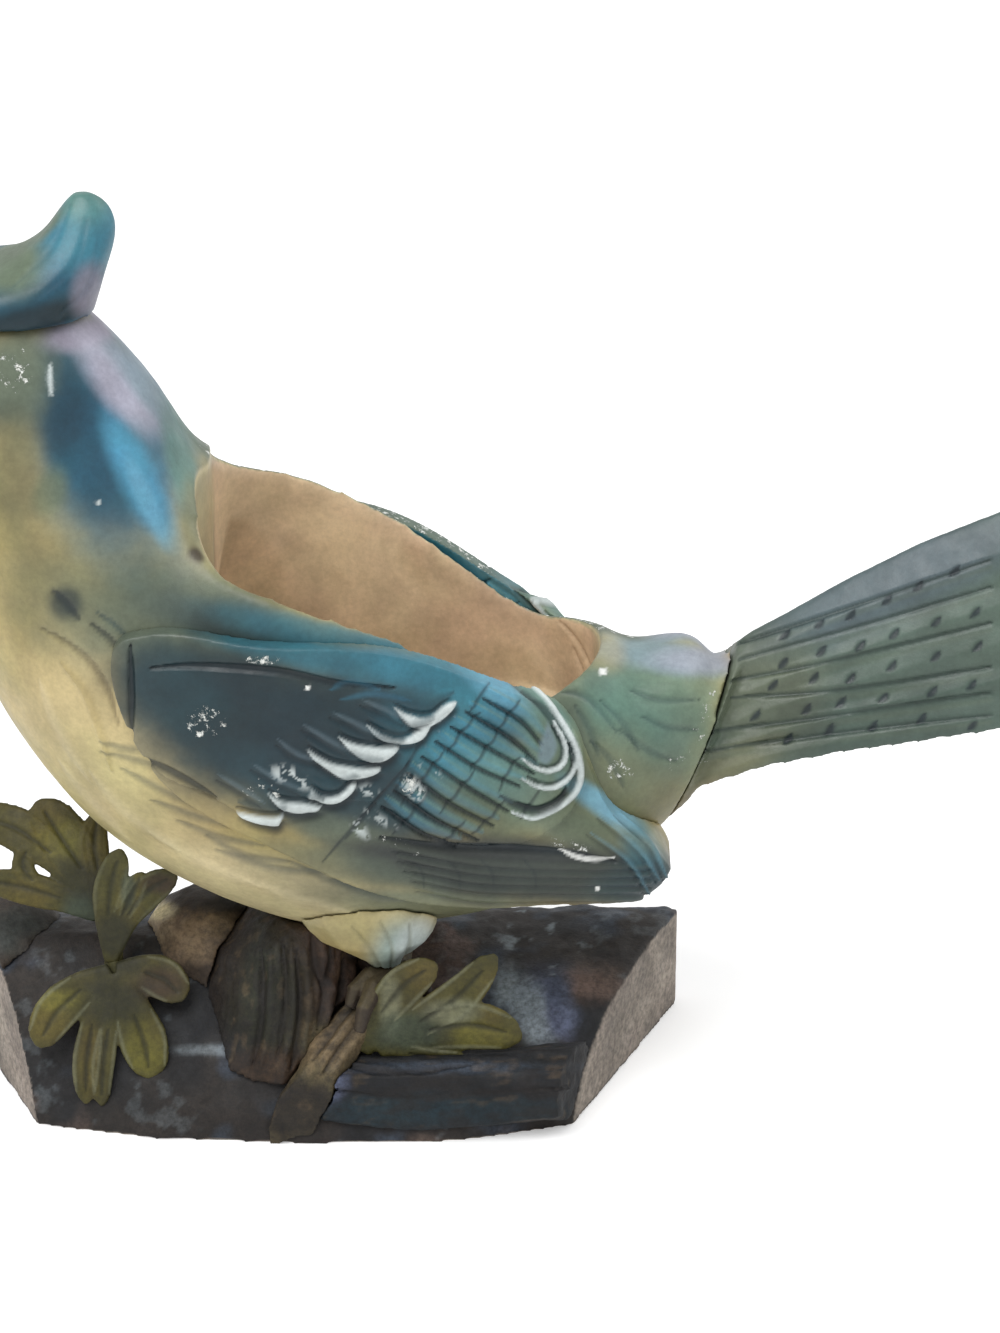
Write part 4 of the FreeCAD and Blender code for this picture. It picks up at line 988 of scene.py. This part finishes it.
# tail
tailParts = {
    "grain": 0.0006,
    "smooth": 3,
    "lumps": [(0.006, 8, 0.0001)],
    "cut": ("tailDark", 4.5, 0.7, 0.8, 0.15, -0.0006),   # between two feathers
    "cutLight": ("greyOlive", 6, 0.35, 0.9, 0.15, 0.0),
    "bar": ("ink", 7, 0.85, 0.6, 0.5, -0.0003),
    "edges": [
        [(733, 645), (860, 604), (991, 560)], [(739, 659), (860, 626), (991, 587)],
        [(730, 681), (860, 655), (991, 623)], [(732, 698), (860, 688), (991, 667)],
        [(710, 732), (860, 712), (991, 693)], [(700, 752), (860, 730), (991, 715)],
    ],
    "bars": [
        [(785, 635), (819, 625), (851, 616), (887, 601), (919, 587), (955, 572)],
        [(783, 664), (821, 652), (860, 647), (894, 635), (936, 623), (976, 613)],
        [(773, 686), (814, 679), (851, 679), (892, 667), (936, 657), (978, 647)],
        [(756, 716), (807, 710), (841, 703), (884, 698), (932, 693), (972, 686)],
        [(788, 740), (830, 730), (873, 727), (922, 719), (972, 727)],
    ],
    "ragged": 0.15,
    "airbrush": [
        ((900, 580), (160, 34), "tailSlate", 0.7, -24),
        ((760, 700), (60, 60), "olive", 0.35, 0),
        # painted shade: the lower right of the tail darkened
        ((880, 720), (160, 40), "tailDark", 0.35, -8),
        # painted shadow: a dark olive band along the underside of the tail
        ((700, 790), (80, 26), "olive", 0.7, -32),
        ((680, 815), (50, 14), "tan", 0.5, -38),
    ],
    "wear": [((700, 760), (40, 14), 0.44, -40)],
}


def makeTail():
    skin = skinOf("tailFan", "tail", tailParts["grain"], tailParts["smooth"])
    easeEdge(skin, sharpEdges(skin, 3), 12)
    skin["colour"][:] = paints["tailGreen"]
    mists(skin, tailParts["airbrush"], tailParts["ragged"])
    for path in tailParts["edges"]:
        brush(skin, path, *tailParts["cut"])
        brush(skin, shifted(path, 0, 7), *tailParts["cutLight"])
    for row in tailParts["bars"]:
        for u, v in row:
            brush(skin, [(u - 5, v + 4), (u, v), (u + 4, v - 6)], *tailParts["bar"])
    chipped(skin, tailParts["wear"])
    uneven(skin, tailParts["lumps"])
    seated(skin, "tail", satinPaint)
    print("tail:", len(skin["spots"]), "spots")


makeTail()


# legs
legParts = {
    "thighGrain": 0.0005,
    "footGrain": 0.0004,
    "thighMists": [
        ((345, 925), (60, 24), "greyOlive", 0.3, 10),
        ((405, 960), (34, 40), "skyBlue", 0.45, 30),
        ((415, 945), (18, 26), "frost", 0.6, 30),
        ((345, 930), (30, 40), "straw", 0.5, 40),
    ],
    "thighGroove": ("olive", 4, 0.35, 0.9, 0.5, -0.0004),
    "thighGrooves": [
        [(350, 925), (370, 950), (385, 975)], [(380, 920), (392, 948), (390, 972)],
        [(410, 922), (410, 945), (400, 968)],
    ],
}


def makeLegs():
    for side in ("left", "right"):
        skin = skinOf(side + "Thigh", side + "_thigh", legParts["thighGrain"], 6)
        easeEdge(skin, sharpEdges(skin, 6), 30)
        coatBirdAndSheen(skin)
        mists(skin, legParts["thighMists"], 0)
        for path in legParts["thighGrooves"]:
            brush(skin, path, *legParts["thighGroove"])
        seated(skin, side + "_thigh", satinPaint)
        skin = skinOf(side + "Foot", side + "_foot", legParts["footGrain"], 4)
        skin["colour"][:] = paints["umber"]
        # painted highlight: the upward faces of the toes made lighter olive
        wash(skin, "barkOlive", 0.7 * smoothStep((skin["normals"][:, 2] - 0.1) / 0.7))
        seated(skin, side + "_foot", mattPaint)


makeLegs()
print("legs done")


# rock and wood
rockParts = {
    "grain": 0.0008,
    "smooth": 4,
    "rough": 0.0011,
    "craggyLumps": [(0.004, 12, 0.0003)],
    "wallLumps": [(0.003, 17, 0.00008)],
    "patches": [
        ((596, 955), (30, 44), "rockPink", 0.95, 10),
        ((545, 985), (26, 60), "rockLilac", 0.8, 8),
        ((520, 930), (40, 20), "rockSlate", 0.7, 0),
        ((470, 925), (30, 30), "rockBrown", 0.8, 0),
        ((452, 940), (14, 14), "wingDark", 0.7, 0),
        ((528, 1005), (16, 44), "rockPale", 0.75, -18),
        ((505, 975), (10, 26), "rockPale", 0.7, 10),
        ((566, 1020), (16, 18), "rockLilac", 0.9, 0),
        ((590, 1030), (20, 34), "rockBlack", 0.9, 10),
        ((450, 1085), (170, 24), "rockBlack", 0.85, 0),
        ((225, 990), (70, 60), "rockBlack", 0.8, 0),
        ((235, 1050), (50, 6), "rockPale", 0.4, 0),
        ((70, 1070), (60, 40), "rockBlack", 0.7, 0),
        ((40, 985), (60, 20), "rockBrown", 0.8, 0),
    ],
}
stoneParts = {
    "grain": 0.0006,
    "lumps": [(0.012, 22, 0.0006), (0.004, 23, 0.0002)],
    "leftBoulder": ("left_boulder", [
        ((20, 935), (34, 26), "wingDark"), ((60, 950), (40, 20), "umber"),
        ((90, 930), (16, 30), "leafGreen"),
    ]),
    "rightBoulder": ("right_boulder", [
        ((190, 935), (60, 26), "boulderTan"), ((150, 925), (22, 20), "tan"),
        ((160, 910), (16, 10), "paleCream"), ((250, 940), (40, 26), "umber"),
        ((235, 905), (40, 8), "darkBark"),
    ]),
}


def sideWall(normals):
    # 1 on the flat cut sides of the base
    upright = smoothStep((0.28 - np.abs(normals[:, 2])) / 0.15)
    slope = smoothStep((np.abs(normals[:, 0]) - 0.55) / 0.2)
    return upright * slope


def makeRock():
    skin = skinOf("rockBase", "rock_base", rockParts["grain"], rockParts["smooth"], False)
    spots, normals, seen = skin["spots"], skin["normals"], skin["seen"]
    wall = sideWall(normals)
    under = smoothStep((-normals[:, 2] - 0.6) / 0.2)
    craggy = (1 - wall) * (1 - under)
    bumps = clouds(spots, 0.014, 11, 4)
    skin["lift"] += craggy * bumps * rockParts["rough"]
    uneven(skin, rockParts["craggyLumps"], craggy)
    skin["colour"][:] = paints["rockBrown"]
    wash(skin, "rockBlack", 0.8 * smoothStep((clouds(spots, 0.02, 13) + 0.05) / 0.4))
    wash(skin, "rockSlate", 0.7 * smoothStep((clouds(spots, 0.013, 14) - 0.1) / 0.3))
    wash(skin, "rockPink", 0.5 * smoothStep((clouds(spots, 0.022, 15) - 0.2) / 0.3))
    mists(skin, rockParts["patches"], 0.5, smoothStep((0.01 - spots[:, 1]) / 0.02))
    dry = smoothStep((clouds(spots, 0.0035, 18) + bumps - 0.35) / 0.25) * craggy
    lit = smoothStep((seen[:, 0] - 480) / 40) * smoothStep((600 - seen[:, 0]) / 60)
    wash(skin, "rockPale", (0.12 + 0.5 * lit) * dry)
    wash(skin, "sideGrey", wall)
    wash(skin, "sidePale", wall * 0.6 * smoothStep(clouds(spots, 0.01, 16) + 0.3))
    wash(skin, "sidePale", under * 0.9)
    uneven(skin, rockParts["wallLumps"], wall)
    seated(skin, "rock_base", rockPaint)
    print("rock:", len(spots), "spots")


def makeStone(name):
    node, places = stoneParts[name]
    skin = skinOf(name, node, stoneParts["grain"], 5, False)
    spots = skin["spots"]
    skin["colour"][:] = paints["umber"]
    wash(skin, "darkBark", 0.6 * smoothStep(clouds(spots, 0.009, 21) + 0.2))
    touches(skin, places, 0.85, 0.35)
    uneven(skin, stoneParts["lumps"])
    seated(skin, node, rockPaint)


woodParts = {
    "grain": 0.0006,
    "lumps": [(0.011, 32, 0.0007)],
    "barkHigh": 0.0005,
    "groove": ("darkBark", 7, 0.6, 0.9, 0.5, -0.001),
    "fold": (None, 8, 1.0, 0.9, 0.5, 0.0007),
    "treeStump": {
        "node": "stump",
        "grainWay": [(318, 900), (312, 1000), (290, 1100)],
        "coat": "bark",
        "touches": [
            ((240, 990), (60, 90), "darkBark"), ((262, 980), (14, 60), "wingDark"),
            ((326, 985), (34, 50), "barkRed"), ((300, 1050), (60, 30), "barkOlive"),
            ((250, 1060), (50, 40), "rockBlack"), ((270, 1000), (40, 60), "leafDark"),
            ((350, 960), (20, 20), "barkRed"), ((280, 1070), (40, 20), "bark"),
        ],
        "folds": [
            [(312, 935), (316, 965), (324, 990)], [(330, 945), (326, 985), (318, 1030)],
            [(345, 958), (340, 1000), (322, 1050)], [(282, 940), (286, 1000), (276, 1060)],
            [(262, 950), (262, 1010), (252, 1070)], [(296, 950), (300, 1010), (292, 1070)],
        ],
    },
    "perchBranch": {
        "node": "perch_branch",
        "grainWay": [(384, 978), (345, 1025), (315, 1070), (300, 1130)],
        "coat": "barkOlive",
        "touches": [((330, 1040), (40, 30), "boulderTan"), ((300, 1110), (40, 30), "darkBark")],
        "folds": [
            [(372, 985), (340, 1020), (312, 1060)], [(384, 992), (352, 1032), (322, 1075)],
            [(360, 985), (330, 1015), (300, 1050)],
        ],
    },
    "fallenLog": {
        "node": "fallen_log",
        "grainWay": [(325, 1078), (450, 1082), (590, 1066)],
        "coat": "rockBlack",
        "touches": [
            ((322, 1078), (22, 26), "rockLilac"), ((312, 1090), (12, 16), "greyBlue"),
            ((430, 1110), (120, 16), "navy"), ((450, 1068), (120, 6), "rockSlate"),
            ((560, 1080), (40, 20), "rockBlack"),
        ],
        "folds": [[(340, 1064), (400, 1072), (470, 1066)], [(330, 1090), (420, 1098), (560, 1088)]],
    },
}


def makeWood(name):
    wood = woodParts[name]
    skin = skinOf(name, wood["node"], woodParts["grain"], 5, False)
    spots = skin["spots"]
    far, along = nearLine(skin["seen"], curved(wood["grainWay"]))
    runs = clouds(np.stack([far * 0.00024, along * 0.024, spots[:, 1]], -1), 0.0022, 31)
    skin["colour"][:] = paints[wood["coat"]]
    touches(skin, wood["touches"], 0.85, 0.3)
    wash(skin, "darkBark", 0.55 * smoothStep((runs - 0.05) / 0.35))
    wash(skin, "boulderTan", 0.25 * smoothStep((-runs - 0.15) / 0.3))
    for path in wood["folds"]:
        brush(skin, path, *woodParts["groove"])
        brush(skin, shifted(path, 9, 0), *woodParts["fold"])
    skin["lift"] += runs * woodParts["barkHigh"]
    uneven(skin, woodParts["lumps"])
    seated(skin, wood["node"], rockPaint)


makeRock()
for stone in ("leftBoulder", "rightBoulder"):
    makeStone(stone)
for wood in ("treeStump", "perchBranch", "fallenLog"):
    makeWood(wood)
print("ground done")


# leaves
# Each blade runs from the leaf's root to its tip: its points and half breadth, as seen in
# the picture. "stands" is for a leaf that stands upright at one depth, in metres.
leafParts = {
    "grain": 0.00045,
    "stemGrain": 0.0004,
    "lumps": [(0.006, 43, 0.0002)],
    "vein": ("leafDark", 5, 0.7, 0.9, 0.3, -0.0004),
    "rimWide": 3.5,
    "thick": 0.0013,
    "sides": 14,
    "firstDepth": -0.015,
    "upperLeaf": {
        "node": "upper_leaf",
        "blades": [
            ([(98, 915), (82, 868), (56, 830), (38, 800)], 30),
            ([(92, 895), (50, 852), (6, 824), (-48, 812)], 23),
            ([(104, 915), (98, 870), (94, 838), (99, 811)], 15),
            ([(98, 915), (60, 898), (18, 886), (-26, 878)], 18),
            ([(60, 900), (32, 880), (22, 862), (30, 846)], 11),
        ],
        "touches": [
            ((40, 820), (22, 22), "leafOchre"), ((62, 840), (26, 18), "yellow"),
            ((95, 850), (14, 40), "leafOchre"), ((20, 820), (26, 12), "leafOlive"),
            ((80, 885), (30, 24), "leafDark"), ((80, 920), (20, 26), "leafGreen"),
            ((20, 895), (30, 14), "leafOchre"),
        ],
        "edge": ("leafOchre", 0.25),
    },
    "innerLeaf": {
        "node": "inner_leaf",
        "stands": (-0.016, 0, 0, 0),   # in front of the wood
        "blades": [
            ([(112, 962), (108, 915), (112, 880), (121, 849)], 18),
            ([(112, 955), (128, 915), (152, 888), (177, 875)], 18),
            ([(112, 950), (122, 915), (134, 890), (143, 872)], 12),
        ],
        "touches": [
            ((130, 895), (14, 26), "leafOchre"), ((128, 890), (7, 20), "leafGreen"),
            ((158, 884), (18, 9), "bark"), ((112, 870), (8, 22), "leafOlive"),
            ((116, 935), (18, 22), "leafDark"),
        ],
        "edge": ("leafPale", 0.25),
    },
    "hangingLeaf": {
        "node": "hanging_leaf",
        "blades": [
            ([(112, 972), (80, 990), (52, 1018), (38, 1047)], 23),
            ([(108, 975), (92, 1025), (86, 1070), (86, 1104)], 15),
            ([(114, 978), (108, 1030), (102, 1075), (102, 1106)], 12),
            ([(120, 975), (134, 1015), (146, 1050), (150, 1078)], 26),
            ([(116, 972), (145, 972), (168, 982), (184, 1000)], 23),
        ],
        "touches": [
            ((48, 1020), (24, 22), "leafOchre"), ((60, 1000), (30, 10), "yellow"),
            ((145, 1050), (18, 26), "yellow"), ((90, 1060), (10, 40), "leafOchre"),
            ((160, 985), (26, 16), "bark"), ((110, 1000), (34, 22), "leafDark"),
            ((112, 960), (30, 16), "leafDark"),
        ],
        "edge": ("leafPale", 0.5),
    },
    "rightLeaf": {
        "node": "right_leaf",
        "stands": (-0.028, 0, 0, 0),   # in front of the wood
        "blades": [
            ([(362, 1052), (382, 1012), (408, 982), (437, 964)], 22),
            ([(378, 1050), (420, 1022), (462, 994), (496, 955)], 21),
            ([(378, 1050), (430, 1030), (480, 1026), (522, 1038)], 26),
            ([(374, 1046), (410, 1054), (440, 1060), (468, 1058)], 11),
        ],
        "touches": [
            ((425, 975), (18, 16), "leafOchre"), ((390, 1005), (10, 30), "leafPale"),
            ((480, 1036), (30, 14), "yellow"), ((492, 1000), (14, 30), "leafOchre"),
            ((410, 1030), (36, 20), "leafGreen"), ((450, 1012), (26, 12), "leafPale"),
        ],
        "edge": ("leafPale", 0.55),
    },
}


def bladeEdges(path, half):
    # the two sides of a blade in the picture, from a narrow root to a round tip
    line = curved(path, 5)
    share = np.linspace(0, 1, len(line))
    wide = half * np.minimum(0.45 + 1.1 * share, 1.0) * np.sqrt(np.clip(1.02 - share ** 5, 0, 1))
    way = np.gradient(line, axis=0)
    way /= np.linalg.norm(way, axis=1)[:, None] + 1e-9
    side = np.stack([-way[:, 1], way[:, 0]], -1)
    return line, line + side * wide[:, None], line - side * wide[:, None]


def leanOf(node):
    # how far back the leaf's solid stands, by its spots' place across and up
    data = meshOf(node)
    spots = np.empty(len(data.vertices) * 3)
    data.vertices.foreach_get("co", spots)
    x, y, z = spots.reshape(-1, 3).T
    return np.linalg.lstsq(np.stack([np.ones_like(x), x, z, z * z], 1), y, rcond=None)[0]


def onLeaf(u, v, lean):
    # where the line of sight through a picture spot meets the leaf
    y = leafParts["firstDepth"]
    for _ in range(6):
        spot = atDepth(u, v, y)
        y = float(np.dot(lean, (1, spot[0], spot[2], spot[2] ** 2)))
    return atDepth(u, v, y)


def makeBlade(work, path, half, lean):
    line, leftEdge, rightEdge = bladeEdges(path, half)
    out = Vector((0, -math.cos(tilt), math.sin(tilt)))
    sides = leafParts["sides"]
    rings = []
    for i, (a, b) in enumerate(zip(leftEdge, rightEdge)):
        first, last = onLeaf(a[0], a[1], lean), onLeaf(b[0], b[1], lean)
        centre, across = (first + last) / 2, (last - first) / 2
        thick = leafParts["thick"] * (1.25 - 0.55 * i / (len(line) - 1))
        ring = []
        for k in range(sides):
            turn = 2 * math.pi * k / sides
            crease = 1 - 0.5 * math.exp(-(math.cos(turn) / 0.22) ** 2) * (math.sin(turn) > 0)
            ring.append(work.verts.new(centre + across * math.cos(turn)
                                       + out * (thick * math.sin(turn) * crease)))
        rings.append(ring)
    for low, high in zip(rings, rings[1:]):
        for k in range(sides):
            after = (k + 1) % sides
            work.faces.new((low[k], low[after], high[after], high[k]))
    work.faces.new(rings[0][::-1])
    work.faces.new(rings[-1])


def makeLeaf(name):
    leaf = leafParts[name]
    work = bmesh.new()
    lean = leaf.get("stands") or leanOf(leaf["node"])
    for path, half in leaf["blades"]:
        makeBlade(work, path, half, lean)
    bmesh.ops.recalc_face_normals(work, faces=work.faces)
    data = bpy.data.meshes.new(name)
    work.to_mesh(data)
    work.free()
    piece = newPiece(name, data)
    evenSkin(piece, leafParts["grain"], 5)
    skin = readSkin(piece, False)
    skin["colour"][:] = paints["leafOlive"]
    touches(skin, leaf["touches"], 0.75, 0.3)
    wash(skin, "leafDark", 0.35 * smoothStep(clouds(skin["spots"], 0.009, 42)))
    paint, strength = leaf["edge"]
    for path, half in leaf["blades"]:
        line, leftEdge, rightEdge = bladeEdges(path, half)
        tip = line[len(line) // 3:]
        brush(skin, list(tip[::4]), *leafParts["vein"])
        for edge in (leftEdge, rightEdge):
            rim = line + (edge - line) * 0.84
            brush(skin, list(rim[len(rim) // 3::4]), paint, leafParts["rimWide"], strength,
                  soft=0.9, taper=0.3, lift=0.0002)
    uneven(skin, leafParts["lumps"])
    seated(skin, leaf["node"], mattPaint)


def makeStem():
    skin = skinOf("leafStem", "leaf_stem", leafParts["stemGrain"], 3, False)
    skin["colour"][:] = paints["leafOlive"]
    # painted highlight: the upward side of the stem made paler
    wash(skin, "leafPale", 0.4 * smoothStep(skin["normals"][:, 2] * 2))
    wash(skin, "leafDark", 0.4 * smoothStep(clouds(skin["spots"], 0.008, 44)))
    seated(skin, "leaf_stem", mattPaint)


for leaf in ("upperLeaf", "innerLeaf", "hangingLeaf", "rightLeaf"):
    makeLeaf(leaf)
makeStem()
print("leaves done")


# hidden wire and dowel
for node in ("tail_dowel", "left_leg_wire", "right_leg_wire"):
    plain = frame["nodes"][node]
    plain.data.materials.clear()
    plain.data.materials.append(mattPaint)


# floor, light
stageSet = {
    "floor": 4.0,
    "floorTint": (0.93, 0.93, 0.93, 1),
    "floorGlow": 0.28,
    "world": 0.7,
    "lamps": [   # name, place, size, power
        ("keyLight", (-0.35, -0.55, 1.1), 0.7, 9.0),
        ("fillLight", (0.9, 0.3, 0.9), 0.9, 4.0),
    ],
    "aimedAt": (0.03, 0, 0.1),
}


def makeStage():
    data = bpy.data.meshes.new("floor")
    half = stageSet["floor"]
    data.from_pydata([(-half, -half, 0), (half, -half, 0), (half, half, 0), (-half, half, 0)],
                     [], [(0, 1, 2, 3)])
    floor = newPiece("floor", data)
    mat = bpy.data.materials.new("paleFloor")
    mat.use_nodes = True
    nodes, links = mat.node_tree.nodes, mat.node_tree.links
    shade = nodes["Principled BSDF"]
    shade.inputs["Base Color"].default_value = stageSet["floorTint"]
    shade.inputs["Roughness"].default_value = 0.9
    shade.inputs["Specular IOR Level"].default_value = 0.1
    seenBy = nodes.new("ShaderNodeLightPath")
    glow = nodes.new("ShaderNodeMath")
    glow.operation = "MULTIPLY"
    glow.inputs[1].default_value = stageSet["floorGlow"]
    links.new(seenBy.outputs["Is Camera Ray"], glow.inputs[0])
    shade.inputs["Emission Color"].default_value = (1, 1, 1, 1)
    links.new(glow.outputs[0], shade.inputs["Emission Strength"])
    data.materials.append(mat)

    world = bpy.data.worlds.new("studio")
    bpy.context.scene.world = world
    world.use_nodes = True
    nodes, links = world.node_tree.nodes, world.node_tree.links
    air = nodes["Background"]
    air.inputs[0].default_value = (1, 1, 1, 1)
    air.inputs[1].default_value = stageSet["world"]
    plain = nodes.new("ShaderNodeBackground")
    plain.inputs[1].default_value = 1.0
    path = nodes.new("ShaderNodeLightPath")
    either = nodes.new("ShaderNodeMath")
    either.operation = "MAXIMUM"
    links.new(path.outputs["Is Camera Ray"], either.inputs[0])
    links.new(path.outputs["Is Glossy Ray"], either.inputs[1])
    pick = nodes.new("ShaderNodeMixShader")
    links.new(either.outputs[0], pick.inputs[0])
    links.new(air.outputs[0], pick.inputs[1])
    links.new(plain.outputs[0], pick.inputs[2])
    links.new(pick.outputs[0], nodes["World Output"].inputs[0])

    for name, place, wide, power in stageSet["lamps"]:
        lamp = bpy.data.lights.new(name, "AREA")
        lamp.energy = power
        lamp.size = wide
        made = bpy.data.objects.new(name, lamp)
        made.location = place
        aim = Vector(stageSet["aimedAt"]) - Vector(place)
        made.rotation_euler = aim.to_track_quat("-Z", "Y").to_euler()
        bpy.context.scene.collection.objects.link(made)


makeCamera()
makeStage()
bpy.context.scene.view_settings.view_transform = "Standard"

print("all made")
